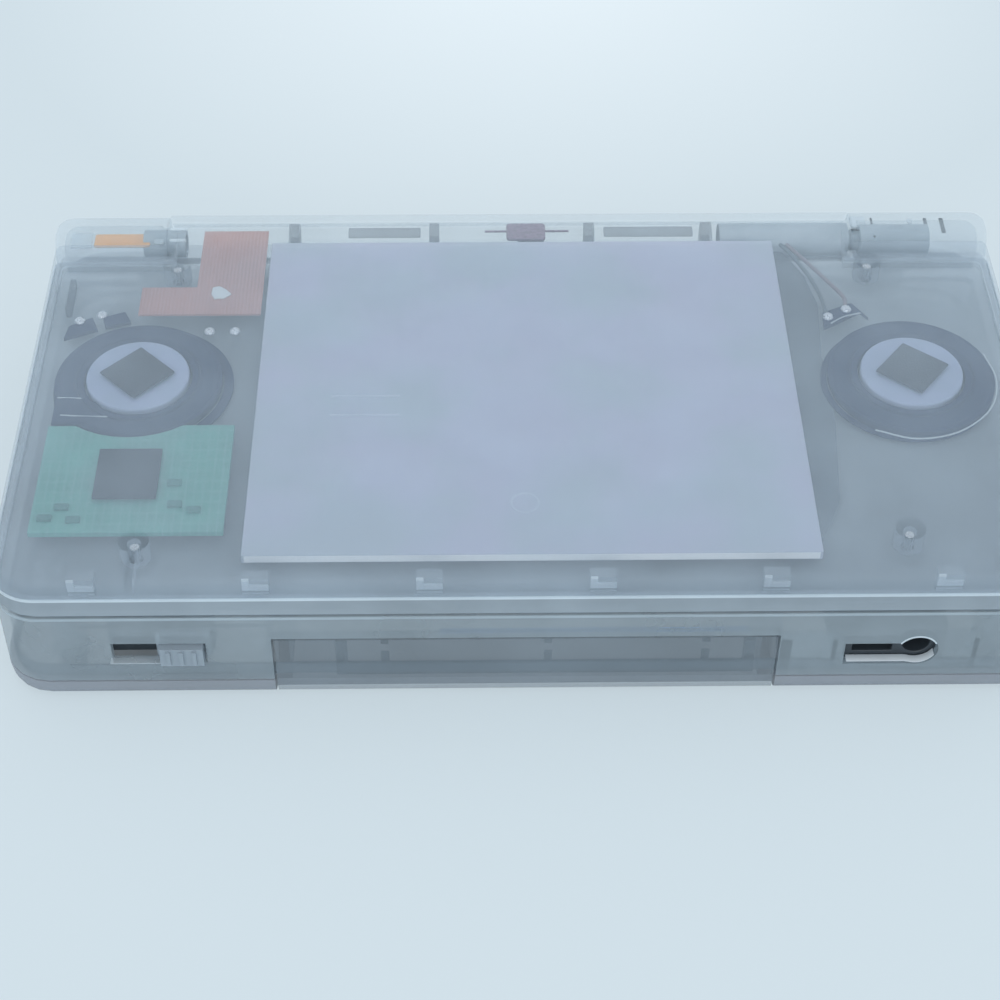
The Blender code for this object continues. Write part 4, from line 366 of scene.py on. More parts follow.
class NodeBook:
    """A material and the nodes that feed its shader."""

    def __init__(self, name: str) -> None:
        """Starts the material called name with a plain shader and the object's own coordinates."""
        self.material = bpy.data.materials.new(name)
        self.material.use_nodes = True
        self.tree = self.material.node_tree
        self.shader = self.tree.nodes["Principled BSDF"]
        self.place = self.tree.nodes.new("ShaderNodeTexCoord").outputs["Object"]

    def add(self, kind: str, inputs: dict[str | int, object], **settings: object) -> bpy.types.Node:
        """Adds a node.

        Args:
            kind: Blender's name of the node type.
            inputs: Values or sockets by input name or number.
            **settings: The node's own properties.

        Returns:
            The node.
        """
        node = self.tree.nodes.new(kind)
        for key, value in settings.items():
            setattr(node, key, value)
        for key, value in inputs.items():
            if isinstance(value, bpy.types.NodeSocket):
                self.tree.links.new(value, node.inputs[key])
            else:
                node.inputs[key].default_value = value
        return node

    def fixed(self, **values: object) -> None:
        """Sets values that are the same all over on the shader, with _ in a name standing for a space."""
        for key, value in values.items():
            self.shader.inputs[key.replace("_", " ")].default_value = value

    def feed(self, name: str, source: bpy.types.NodeSocket) -> None:
        """Leads a socket to the shader's input called name."""
        self.tree.links.new(source, self.shader.inputs[name])

    def stretched(self, stretch: Point) -> bpy.types.NodeSocket:
        """The object's coordinates, scaled along each axis."""
        return self.add("ShaderNodeMapping", {"Vector": self.place, "Scale": stretch}).outputs["Vector"]

    def noise(self, size: float, detail: float = 2.0, stretch: Point = (1, 1, 1)) -> bpy.types.NodeSocket:
        """Soft noise from 0 to 1, in cells of about that size."""
        inputs = {"Vector": self.stretched(stretch), "Scale": 1 / size, "Detail": detail}
        return self.add("ShaderNodeTexNoise", inputs).outputs["Fac"]

    def cells(self, size: float) -> bpy.types.NodeSocket:
        """The distance to the nearest of scattered points that far apart."""
        return self.add("ShaderNodeTexVoronoi", {"Vector": self.place, "Scale": 1 / size}).outputs["Distance"]

    def nearness(self, spot: Point, reach: float) -> bpy.types.NodeSocket:
        """How near a place is to a spot: 1 there, 0 at reach from it and beyond."""
        offset = self.add("ShaderNodeVectorMath", {0: self.place, 1: spot}, operation="DISTANCE")
        return self.span(offset.outputs["Value"], 1, 0, 0, reach)

    def stripes(self, pitch: float, axis: str) -> bpy.types.NodeSocket:
        """Sine stripes from 0 to 1 that far apart along X or Y."""
        bands = 1 / (pitch * 20) * 2 * math.pi
        inputs = {"Vector": self.place, "Scale": bands, "Distortion": 0.0, "Detail": 0.0}
        return self.add("ShaderNodeTexWave", inputs, bands_direction=axis).outputs["Fac"]

    def span(
        self, source: bpy.types.NodeSocket, low: float, high: float, start: float = 0.3, end: float = 0.7
    ) -> bpy.types.NodeSocket:
        """Turns start to end of a socket into low to high."""
        inputs = {"Value": source, "From Min": start, "From Max": end, "To Min": low, "To Max": high}
        return self.add("ShaderNodeMapRange", inputs).outputs["Result"]

    def tones(
        self, source: bpy.types.NodeSocket, low: Colour, high: Colour, start: float = 0.3, end: float = 0.7
    ) -> bpy.types.NodeSocket:
        """Goes from one colour to another as a socket goes from start to end."""
        node = self.add("ShaderNodeMix", {}, data_type="RGBA")
        colours = [entry for entry in node.inputs if entry.type == "RGBA"]
        colours[0].default_value = (*low, 1)
        colours[1].default_value = (*high, 1)
        self.tree.links.new(self.span(source, 0, 1, start, end), node.inputs["Factor"])
        return next(entry for entry in node.outputs if entry.type == "RGBA")

    def along_y(self, stops: Sequence[HazeStop]) -> tuple[bpy.types.NodeSocket, bpy.types.NodeSocket]:
        """A tint and a haze that go from stop to stop along Y.

        Args:
            stops: Two or more stops, from front to back.

        Returns:
            The tint and the haze.
        """
        place = self.add("ShaderNodeSeparateXYZ", {"Vector": self.place}).outputs["Y"]
        first, last = stops[0].y, stops[-1].y
        node = self.add("ShaderNodeValToRGB", {"Fac": self.span(place, 0, 1, first, last)})
        ramp = node.color_ramp
        while len(ramp.elements) < len(stops):
            ramp.elements.new(1.0)
        for element, stop in zip(ramp.elements, stops):
            element.position = (stop.y - first) / (last - first)
            element.color = (*stop.tint, stop.haze)
        return node.outputs["Color"], node.outputs["Alpha"]

    def overlay(
        self, source: bpy.types.NodeSocket, under: bpy.types.NodeSocket, over: Colour
    ) -> bpy.types.NodeSocket:
        """Lays a colour over a coloured socket where source is 1."""
        node = self.add("ShaderNodeMix", {"Factor": source}, data_type="RGBA")
        colours = [entry for entry in node.inputs if entry.type == "RGBA"]
        self.tree.links.new(under, colours[0])
        colours[1].default_value = (*over, 1)
        return next(entry for entry in node.outputs if entry.type == "RGBA")

    def relief(self, source: bpy.types.NodeSocket, depth: float) -> None:
        """Raises and lowers the surface by depth as the socket goes from 0 to 1."""
        bump = self.add("ShaderNodeBump", {"Height": source, "Distance": depth})
        self.feed("Normal", bump.outputs["Normal"])


def shade(colour: Colour, share: float) -> Colour:
    """A lighter or darker version of a colour."""
    return tuple(min(1.0, part * share) for part in colour)


@dataclass(frozen=True)
class HazyPlastic:
    """Moulded plastic that hazes what is behind it: a cloudy tint, a see-through haze and a fine grain.

    Where it has more than one stop, its tint and haze change along Y with the thickness of the moulding.
    """

    name: str
    stops: tuple[HazeStop, ...]
    swirl: float = 0.025
    roughness: float = 0.42
    cloud: float = 11 * MM
    grain: float = 0.30 * MM
    relief: float = 0.006 * MM

    def paint(self) -> bpy.types.Material:
        """The finish as a material."""
        book = NodeBook(self.name)
        cloud = book.noise(self.cloud, 3)
        if len(self.stops) > 1:
            tint, haze = book.along_y(self.stops)
            inputs = {0: tint, "Scale": book.span(cloud, 0.95, 1.05)}
            scaled = book.add("ShaderNodeVectorMath", inputs, operation="SCALE")
            book.feed("Base Color", scaled.outputs["Vector"])
            inputs = {0: haze, 1: book.span(cloud, -self.swirl, self.swirl)}
            total = book.add("ShaderNodeMath", inputs, operation="ADD")
            book.feed("Alpha", total.outputs["Value"])
        else:
            stop = self.stops[0]
            book.feed("Base Color", book.tones(cloud, shade(stop.tint, 0.95), shade(stop.tint, 1.05)))
            book.feed("Alpha", book.span(cloud, stop.haze - self.swirl, stop.haze + self.swirl))
        grain = book.noise(self.grain, 1)
        book.feed("Roughness", book.span(grain, self.roughness - 0.04, self.roughness + 0.06))
        book.relief(grain, self.relief)
        return book.material


def even(tint: Colour, haze: float) -> tuple[HazeStop, ...]:
    """One tint and haze all over."""
    return (HazeStop(0.0, tint, haze),)


@dataclass(frozen=True)
class MouldedPlastic:
    """Solid moulded plastic: one colour with slight flow marks, and a fine spark-eroded grain."""

    name: str
    colour: Colour
    roughness: float = 0.45
    grain: float = 0.25 * MM
    relief: float = 0.008 * MM
    clear_coat: float = 0.0
    gloss: float = 0.5

    def paint(self) -> bpy.types.Material:
        """The finish as a material."""
        book = NodeBook(self.name)
        flow = book.noise(6 * MM, 3, (1, 0.4, 1))
        book.feed("Base Color", book.tones(flow, shade(self.colour, 0.92), shade(self.colour, 1.06)))
        grain = book.noise(self.grain, 2)
        book.feed("Roughness", book.span(grain, self.roughness - 0.06, self.roughness + 0.08))
        book.relief(grain, self.relief)
        book.fixed(Coat_Weight=self.clear_coat, Coat_Roughness=0.2, Specular_IOR_Level=self.gloss)
        return book.material


@dataclass(frozen=True)
class SheetMetal:
    """Rolled or turned metal: streaks along one axis, blotches of two tones, and small marks of handling."""

    name: str
    tone: Colour
    blotch: Colour
    roughness: float = 0.36
    streak: Point = (1.0, 0.08, 1.0)
    blotch_size: float = 14 * MM
    metallic: float = 0.85

    def paint(self) -> bpy.types.Material:
        """The finish as a material."""
        book = NodeBook(self.name)
        patches = book.noise(self.blotch_size, 4)
        book.feed("Base Color", book.tones(patches, self.tone, self.blotch, 0.42, 0.62))
        streaks = book.noise(0.35 * MM, 2, self.streak)
        book.feed("Roughness", book.span(streaks, self.roughness - 0.06, self.roughness + 0.10))
        book.relief(streaks, 0.004 * MM)
        book.fixed(Metallic=self.metallic)
        return book.material


@dataclass(frozen=True)
class CircuitBoard:
    """A board under solder mask: copper tracks show as paler lines and pads through a glossy coat."""

    name: str
    mask: Colour
    copper: Colour
    track: float = 1.1 * MM

    def paint(self) -> bpy.types.Material:
        """The finish as a material."""
        book = NodeBook(self.name)
        lines = book.stripes(self.track, "X")
        across = book.stripes(self.track * 1.7, "Y")
        ground = book.tones(book.noise(5 * MM, 2), shade(self.mask, 0.9), shade(self.mask, 1.1))
        tracks = book.overlay(book.span(lines, 0, 0.35, 0.82, 0.9), ground, self.copper)
        pads = book.overlay(book.span(across, 0, 0.3, 0.86, 0.93), tracks, self.copper)
        book.feed("Base Color", pads)
        book.feed("Roughness", book.span(book.noise(0.5 * MM, 2), 0.30, 0.46))
        book.relief(lines, 0.012 * MM)
        book.fixed(Coat_Weight=0.35, Coat_Roughness=0.15)
        return book.material


@dataclass(frozen=True)
class FlexFilm:
    """Thin film over copper tracks: fine lines along the strip, and a soft gloss."""

    name: str
    film: Colour
    copper: Colour
    pitch: float = 0.5 * MM
    axis: str = "X"

    def paint(self) -> bpy.types.Material:
        """The finish as a material."""
        book = NodeBook(self.name)
        ground = book.tones(book.noise(7 * MM, 3), shade(self.film, 0.88), shade(self.film, 1.08))
        lines = book.stripes(self.pitch, self.axis)
        tracks = book.overlay(book.span(lines, 0, 0.45, 0.45, 0.6), ground, self.copper)
        book.feed("Base Color", tracks)
        book.feed("Roughness", book.span(book.noise(1.5 * MM, 2), 0.30, 0.44))
        book.relief(lines, 0.01 * MM)
        return book.material


@dataclass(frozen=True)
class SoftPad:
    """Foam or rubber: open cells or a dull skin, with dust in its pores."""

    name: str
    colour: Colour
    cell: float = 0.3 * MM
    depth: float = 0.04 * MM
    roughness: float = 0.85

    def paint(self) -> bpy.types.Material:
        """The finish as a material."""
        book = NodeBook(self.name)
        pores = book.cells(self.cell)
        skin = book.tones(pores, shade(self.colour, 0.7), shade(self.colour, 1.15), 0.1, 0.6)
        book.feed("Base Color", skin)
        book.feed("Roughness", book.span(pores, self.roughness - 0.1, self.roughness + 0.08, 0.1, 0.6))
        book.relief(pores, self.depth)
        book.fixed(Sheen_Weight=0.15)
        return book.material


@dataclass(frozen=True)
class DisplayGlass:
    """A dark display behind glass: a deep even colour, a faint pixel grid and a hard gloss."""

    name: str
    colour: Colour
    haze: float = 1.0

    def paint(self) -> bpy.types.Material:
        """The finish as a material."""
        book = NodeBook(self.name)
        grid = book.stripes(0.24 * MM, "X")
        book.feed("Base Color", book.tones(grid, shade(self.colour, 0.85), shade(self.colour, 1.15)))
        book.feed("Roughness", book.span(book.noise(4 * MM, 3), 0.05, 0.14))
        book.fixed(Alpha=self.haze, Coat_Weight=0.5, Coat_Roughness=0.04)
        return book.material


@dataclass(frozen=True)
class Solder:
    """Solder or a plated contact: bright metal with a rippled skin."""

    name: str
    colour: Colour
    roughness: float = 0.28

    def paint(self) -> bpy.types.Material:
        """The finish as a material."""
        book = NodeBook(self.name)
        ripple = book.noise(0.4 * MM, 2)
        book.feed("Base Color", book.tones(ripple, shade(self.colour, 0.9), shade(self.colour, 1.05)))
        book.feed("Roughness", book.span(ripple, self.roughness - 0.08, self.roughness + 0.12))
        book.relief(ripple, 0.02 * MM)
        book.fixed(Metallic=0.7)
        return book.material


class Finishes:
    """Every finish of the console, painted once when it is first asked for."""

    shell = HazyPlastic(
        "hazy_shell",
        (
            HazeStop(-37 * MM, (0.48, 0.59, 0.69), 0.23),
            HazeStop(28.2 * MM, (0.54, 0.66, 0.76), 0.23),
            HazeStop(28.9 * MM, (0.66, 0.78, 0.86), 0.17),
        ),
    )
    bezel = HazyPlastic(
        "hazy_bezel",
        (
            HazeStop(-36.6 * MM, (0.48, 0.56, 0.62), 0.50),
            HazeStop(-35.4 * MM, (0.33, 0.40, 0.45), 0.50),
            HazeStop(26.0 * MM, (0.47, 0.56, 0.62), 0.50),
            HazeStop(28.2 * MM, (0.47, 0.56, 0.62), 0.48),
            HazeStop(28.9 * MM, (0.64, 0.76, 0.84), 0.17),
        ),
    )
    base = HazyPlastic(
        "hazy_base",
        (
            HazeStop(-37 * MM, (0.40, 0.48, 0.53), 0.42),
            HazeStop(28.2 * MM, (0.46, 0.56, 0.61), 0.42),
            HazeStop(28.9 * MM, (0.62, 0.74, 0.82), 0.22),
        ),
    )
    lower = HazyPlastic("hazy_lower_shell", even((0.30, 0.34, 0.40), 0.55))
    cover = HazyPlastic("hazy_cover", even((0.30, 0.36, 0.41), 0.36))
    knob = HazyPlastic("hazy_knob", even((0.38, 0.45, 0.51), 0.70))
    hook = HazyPlastic("hook_plastic", even((0.70, 0.79, 0.86), 0.50))
    # Pale haze for painted highlights: the strip at the lid's seam, the lines round the speakers' lugs and
    # the edge over the socket's mouth. Also used for the pale pads, bars and catches in the ears and the
    # barrel's end.
    edge = HazyPlastic("edge_highlight_and_pale_part", even((0.74, 0.84, 0.90), 0.62), roughness=0.35)
    # Paler haze for the strip along the base's top edge: a painted highlight where that edge catches the
    # light.
    rim = HazyPlastic("base_rim_highlight", even((0.52, 0.62, 0.68), 0.50))
    web = HazyPlastic("inner_web", even((0.20, 0.26, 0.31), 0.45))
    # Near-black haze: the ribs behind the dust cover and on the front wall, and painted shade in the gap
    # under the cover and in the notches of the right ear.
    frame = HazyPlastic("cover_frame", even((0.05, 0.07, 0.085), 0.72))
    window = HazyPlastic(
        "screen_window", even((0.05, 0.06, 0.07), 0.30), 0.0, 0.08, grain=2 * MM, relief=0.0
    )
    plate = SheetMetal(
        "pressed_plate", (0.54, 0.56, 0.70), (0.49, 0.56, 0.64), 0.5, blotch_size=16 * MM, metallic=0.25
    )
    # Paler than the plate it is pressed into: a painted highlight on the pressed ridges.
    pressing = SheetMetal("plate_pressing", (0.62, 0.66, 0.78), (0.56, 0.62, 0.72), 0.5, metallic=0.2)
    # Near white and not metallic: a painted highlight of the light on the plate's front bend.
    flange = SheetMetal("plate_flange_highlight", (0.96, 0.98, 1.0), (0.92, 0.96, 1.0), 0.4, metallic=0.0)
    bright = SheetMetal(
        "turned_steel", (0.66, 0.68, 0.70), (0.60, 0.62, 0.64), 0.25, (1, 1, 0.1), 4 * MM, 1.0
    )
    sleeve = SheetMetal(
        "dull_steel", (0.42, 0.50, 0.56), (0.36, 0.44, 0.50), 0.55, (0.1, 1, 1), 5 * MM, 0.15
    )
    magnet = SheetMetal(
        "magnet_plate", (0.42, 0.49, 0.68), (0.38, 0.46, 0.62), 0.5, (1, 1, 1), 5 * MM, 0.1
    )
    dark = MouldedPlastic("dark_plastic", (0.035, 0.045, 0.055), 0.4)
    speaker = MouldedPlastic("speaker_frame", (0.014, 0.030, 0.090), 0.9, gloss=0.1)
    chip = MouldedPlastic("chip_body", (0.02, 0.03, 0.045), 0.6, gloss=0.2)
    # Also used for the painted highlights on the lower edges of the socket's mouth and the volume slot.
    pale = MouldedPlastic("pale_plastic", (0.70, 0.76, 0.80), 0.4)
    orange = FlexFilm("hinge_flex", (0.95, 0.42, 0.10), (0.95, 0.60, 0.20), 0.4 * MM, "Y")
    mauve = SoftPad("microphone_boot", (0.24, 0.18, 0.25), 0.5 * MM, 0.02 * MM, 0.6)
    blue = MouldedPlastic("blue_strip", (0.10, 0.28, 0.72), 0.35)
    button = MouldedPlastic("button_plastic", (0.62, 0.68, 0.73), 0.38, clear_coat=0.15)
    board = CircuitBoard("green_board", (0.03, 0.24, 0.16), (0.16, 0.42, 0.28))
    antenna = CircuitBoard("antenna_board", (0.09, 0.36, 0.31), (0.16, 0.43, 0.41))
    small_part = MouldedPlastic("board_part", (0.08, 0.25, 0.23), 0.5, gloss=0.2)
    flex = FlexFilm("display_flex", (0.48, 0.25, 0.22), (0.56, 0.33, 0.30))
    foam = SoftPad("foam_pad", (0.020, 0.030, 0.045))
    rubber = SoftPad("grey_rubber", (0.22, 0.25, 0.28), 0.6 * MM, 0.015 * MM, 0.7)
    wrap = MouldedPlastic("battery_wrap", (0.10, 0.12, 0.15), 0.3, 3 * MM, 0.05 * MM, 0.3)
    glass = DisplayGlass("display_glass", (0.018, 0.020, 0.024))
    touch = DisplayGlass("touch_glass", (0.05, 0.055, 0.06), 0.35)
    solder = Solder("solder", (0.75, 0.80, 0.86))
    red_lead = MouldedPlastic("red_lead", (0.26, 0.22, 0.25), 0.6)
    dark_lead = MouldedPlastic("dark_lead", (0.10, 0.14, 0.17), 0.6)

    def __init__(self) -> None:
        """Starts with nothing painted."""
        self.painted: dict[str, bpy.types.Material] = {}

    def __getitem__(self, finish: str) -> bpy.types.Material:
        """The material of the finish of that name."""
        if finish not in self.painted:
            self.painted[finish] = getattr(self, finish).paint()
        return self.painted[finish]


# Pieces


@dataclass
class Workshop:
    """Turns surfaces into pieces that ride on the frame's bodies."""

    finishes: Finishes = field(default_factory=Finishes)
    smooth_angle: float = math.radians(38)

    def piece(
        self, name: str, body: Body, finish: str, slot: Slot, surface: Surface, bevel: float = 0.0
    ) -> bpy.types.Object:
        """Makes one piece.

        Args:
            name: The piece's name.
            body: What it rides on.
            finish: Name of one of the finishes.
            slot: The record's slot for the piece. Not used.
            surface: Its closed surface, in the frame's own place.
            bevel: Width of a bevel along its sharp edges.

        Returns:
            The object.
        """
        mesh = bpy.data.meshes.new(name)
        mesh.from_pydata(surface.points.tolist(), [], surface.faces)
        return self.finished(name, body.value, finish, mesh, bevel)

    def finished(
        self, name: str, body: str, finish: str, mesh: bpy.types.Mesh, bevel: float
    ) -> bpy.types.Object:
        """Turns a mesh's faces outwards, smooths and dresses it, and sets it on its body."""
        form = bmesh.new()
        form.from_mesh(mesh)
        bmesh.ops.recalc_face_normals(form, faces=form.faces)
        form.to_mesh(mesh)
        form.free()
        mesh.shade_smooth()
        mesh.set_sharp_from_angle(angle=self.smooth_angle)
        mesh.materials.clear()
        mesh.materials.append(self.finishes[finish])
        made = bpy.data.objects.new(name, mesh)
        bpy.context.scene.collection.objects.link(made)
        if bevel:
            rounding = made.modifiers.new("rounding", "BEVEL")
            rounding.width = bevel
            rounding.segments = 2
            rounding.limit_method = "ANGLE"
            rounding.angle_limit = self.smooth_angle
        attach(made, body)
        LOG.info("%s: %d faces on %s", name, len(mesh.polygons), body)
        return made

    def refined(self, node: str, finish: str, slot: Slot, bevel: float = 0.0) -> bpy.types.Object:
        """Stands a merged, smoothed and finely bevelled copy in for a CAD node.

        Args:
            node: The CAD node.
            finish: Name of one of the finishes.
            slot: The record's slot for the copy. Not used.
            bevel: Width of a bevel along its sharp edges.

        Returns:
            The copy.
        """
        source = FRAME["nodes"][node]
        corners = np.empty(len(source.data.vertices) * 3)
        source.data.vertices.foreach_get("co", corners)
        triangles = np.empty(len(source.data.loops), int)
        source.data.loops.foreach_get("vertex_index", triangles)
        mesh = bpy.data.meshes.new(f"{node}_skin")
        mesh.from_pydata(corners.reshape(-1, 3).tolist(), [], triangles.reshape(-1, 3).tolist())
        form = bmesh.new()
        form.from_mesh(mesh)
        bmesh.ops.remove_doubles(form, verts=form.verts, dist=0.0005 * MM)
        bmesh.ops.dissolve_limit(form, angle_limit=math.radians(0.5), verts=form.verts, edges=form.edges)
        form.to_mesh(mesh)
        form.free()
        made = self.finished(f"{node}_skin", source["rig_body"], finish, mesh, bevel)
        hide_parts(node)
        return made

    def dress(self, finish: str, *nodes: str) -> None:
        """Gives CAD nodes a finish."""
        for node in nodes:
            mesh = FRAME["nodes"][node].data
            mesh.materials.clear()
            mesh.materials.append(self.finishes[finish])
            LOG.info("%s: dressed as %s", node, finish)


def middle(node: str) -> Vector:
    """The middle of a CAD node's box."""
    low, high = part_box(node)
    return (low + high) / 2


# Sub-assemblies


@dataclass
class Shells:
    """The hazy outer shells, pale strips at their seams that are painted highlights of the edges, and the
    hooks behind the front wall.
    """

    shop: Workshop
    corner: float = 6.0 * MM
    bead_depth: float = 0.24 * MM
    lid_bead_height: float = 0.45 * MM
    lid_bead_level: float = 18.12 * MM
    base_bead_height: float = 0.50 * MM
    base_bead_level: float = 14.66 * MM
    side_end_y: float = 27.0 * MM
    lip_low: float = 3.5 * MM
    lip_high: float = 5.2 * MM
    lip_inset: float = 0.85 * MM
    lip_depth: float = 0.5 * MM
    bead_corner_share: float = 0.45
    lip_corner_share: float = 0.2
    corner_steps: int = 14
    hook_first_x: float = -54.8 * MM
    hook_pitch: float = 21.1 * MM
    hook_count: int = 6
    hook_front_y: float = -35.3 * MM
    hook_relief: float = 0.25 * MM
    hook_sink: float = 0.1 * MM
    hook_bevel: float = 0.06 * MM
    hook_outlines: tuple[Outline, ...] = (
        ((-1.6, 18.3), (-0.7, 18.3), (-0.7, 20.2), (-1.6, 20.2)),
        ((-0.7, 18.3), (1.6, 18.3), (1.6, 19.2), (-0.7, 19.2)),
        ((-1.6, 17.2), (1.6, 17.2), (1.6, 17.8), (-1.6, 17.8)),
    )

    def build(self) -> None:
        """Dresses the shells and adds the painted highlights at their edges, the lip and the hooks."""
        for node, finish in (
            ("lid_outer_shell", "shell"),
            ("lid_inner_bezel", "bezel"),
            ("base_top_shell", "base"),
            ("base_bottom_shell", "lower"),
            ("battery_cover", "lower"),
            ("dust_cover", "cover"),
            ("trigger_left", "base"),
            ("trigger_right", "base"),
            ("volume_slider", "knob"),
            ("power_slider", "knob"),
        ):
            self.shop.refined(node, finish, Slot.SHELL)
        self.edges()
        self.hooks()

    def rim(self, node: str, level: float, inset: float) -> Array:
        """The path down the left side of a shell, along its front and up its right side.

        A corner's points are its centre plus the corner radius, less the inset, in each direction.

        Args:
            node: The shell whose box gives the sides and the front.
            level: Height of the path.
            inset: How far inside the shell's faces the path runs.

        Returns:
            The points.
        """
        low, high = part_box(node)
        turn = np.linspace(math.pi, 1.5 * math.pi, self.corner_steps)
        around = (self.corner - inset) * np.column_stack((np.cos(turn), np.sin(turn)))
        left = np.array((low.x + self.corner, low.y + self.corner)) + around
        right = np.array((high.x - self.corner, low.y + self.corner)) + around[::-1] * (-1, 1)
        flat = np.vstack(((left[0, 0], self.side_end_y), left, right, (right[-1, 0], self.side_end_y)))
        return np.column_stack((flat, np.full(len(flat), level)))

    def edges(self) -> None:
        """Pale strips at the lid's seam and along the base's top edge, which are painted highlights, and the
        lip where the base shells meet.
        """
        depth, corner = self.bead_depth, self.bead_depth * self.bead_corner_share
        lid, base = (self.lid_bead_level, self.lid_bead_height), (self.base_bead_level, self.base_bead_height)
        # Both strips are painted highlights: pale haze where the lid's seam edge and the base's top edge
        # catch the light.
        for name, body, finish, node, (level, height) in (
            ("lid_seam_painted_highlight", Body.LID, "edge", "lid_outer_shell", lid),
            ("base_rim_painted_highlight", Body.BASE, "rim", "base_top_shell", base),
        ):
            highlight_strip = swept(self.rim(node, level, depth / 2), oblong_profile(depth, height, corner))
            self.shop.piece(name, body, finish, Slot.SHELL, highlight_strip)
        depth, level = self.lip_depth, (self.lip_low + self.lip_high) / 2
        band = oblong_profile(depth, self.lip_high - self.lip_low, depth * self.lip_corner_share)
        path = self.rim("base_top_shell", level, self.lip_inset + depth / 2)
        self.shop.piece("base_seam_lip", Body.BASE, "web", Slot.SHELL, swept(path, band))

    def hooks(self) -> None:
        """The stepped face of each snap hook: a stem, a shelf and a foot, drawn in X and Z."""
        front, back = self.hook_front_y - self.hook_relief, self.hook_front_y + self.hook_sink
        parts = []
        for index in range(self.hook_count):
            x = self.hook_first_x + index * self.hook_pitch
            for outline in self.hook_outlines:
                parts.append(plank(np.asarray(outline) * MM + (x, 0), front, back, True))
        self.shop.piece("snap_hook_faces", Body.LID, "hook", Slot.SHELL, joined(*parts), self.hook_bevel)


@dataclass
class LidDisplay:
    """The upper display, its metal back plate with its pressings, and its flex."""

    shop: Workshop
    line_width: float = 0.3 * MM
    line_left_x: float = -25.9 * MM
    line_right_x: float = -16.8 * MM
    line_places_y: tuple[float, float] = (-2.3 * MM, -5.95 * MM)
    line_rise: float = 0.08 * MM
    mark_place: tuple[float, float] = (-0.75 * MM, -22.3 * MM)
    mark_radius: float = 1.7 * MM

    flange_inset: float = 0.35 * MM
    flange_depth: float = 0.03 * MM
    plate_bevel: float = 0.12 * MM
    glue_height: float = 0.25 * MM
    glue_bevel: float = 0.1 * MM
    line_corner_share: float = 0.9
    mark_corner_share: float = 0.4
    line_steps: int = 12
    mark_steps: int = 48
    glue_outline: Outline = (
        (-43.3, 20.1),
        (-42.4, 20.4),
        (-41.4, 19.7),
        (-40.6, 18.7),
        (-41.6, 17.8),
        (-42.9, 17.7),
        (-43.4, 18.7),
    )

    def build(self) -> None:
        """Dresses the display and its plate, and adds the plate's pressings and flange and the glue."""
        self.shop.refined("display_back_plate", "plate", Slot.PLATE, self.plate_bevel)
        self.shop.dress("glass", "upper_display")
        self.shop.dress("window", "screen_window")
        self.shop.dress("flex", "display_flex")
        self.pressings()
        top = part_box("display_flex")[1].z
        blob = plank(np.asarray(self.glue_outline) * MM, top, top + self.glue_height)
        self.shop.piece("flex_glue", Body.LID, "pale", Slot.FLEX, blob, self.glue_bevel)

    def pressings(self) -> None:
        """Two long ridges and a ring pressed into the plate, paler than it as a painted highlight, and its
        front flange, near white as a painted highlight.
        """
        low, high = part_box("display_back_plate")
        top = high.z
        parts = []
        width, rise = self.line_width, self.line_rise
        line = oblong_profile(width, rise * 2, rise * self.line_corner_share)
        for y in self.line_places_y:
            ends = ((self.line_left_x, y, top), (self.line_right_x, y, top))
            parts.append(swept(smooth_path(ends, self.line_steps), line))
        x, y = self.mark_place
        loop = circle_profile(self.mark_radius, self.mark_steps)
        path = np.column_stack((loop[:, 0] + x, loop[:, 1] + y, np.full(len(loop), top)))
        ring = oblong_profile(width, rise, rise * self.mark_corner_share)
        parts.append(swept(path, ring, closed=True))
        # The pressings take the paler finish: painted highlight on the ridges.
        self.shop.piece("plate_pressings", Body.LID, "pressing", Slot.PLATE, joined(*parts))
        # The flange's near-white finish is a painted highlight of the plate's lit front bend.
        inset = self.flange_inset
        left, right = low.x + inset, high.x - inset
        under, over = low.z + inset / 2, high.z - inset / 2
        outline = [(left, under), (right, under), (right, over), (left, over)]
        flange = plank(outline, low.y - self.flange_depth, low.y + self.flange_depth, True)
        self.shop.piece("plate_flange_highlight", Body.LID, "flange", Slot.PLATE, flange)


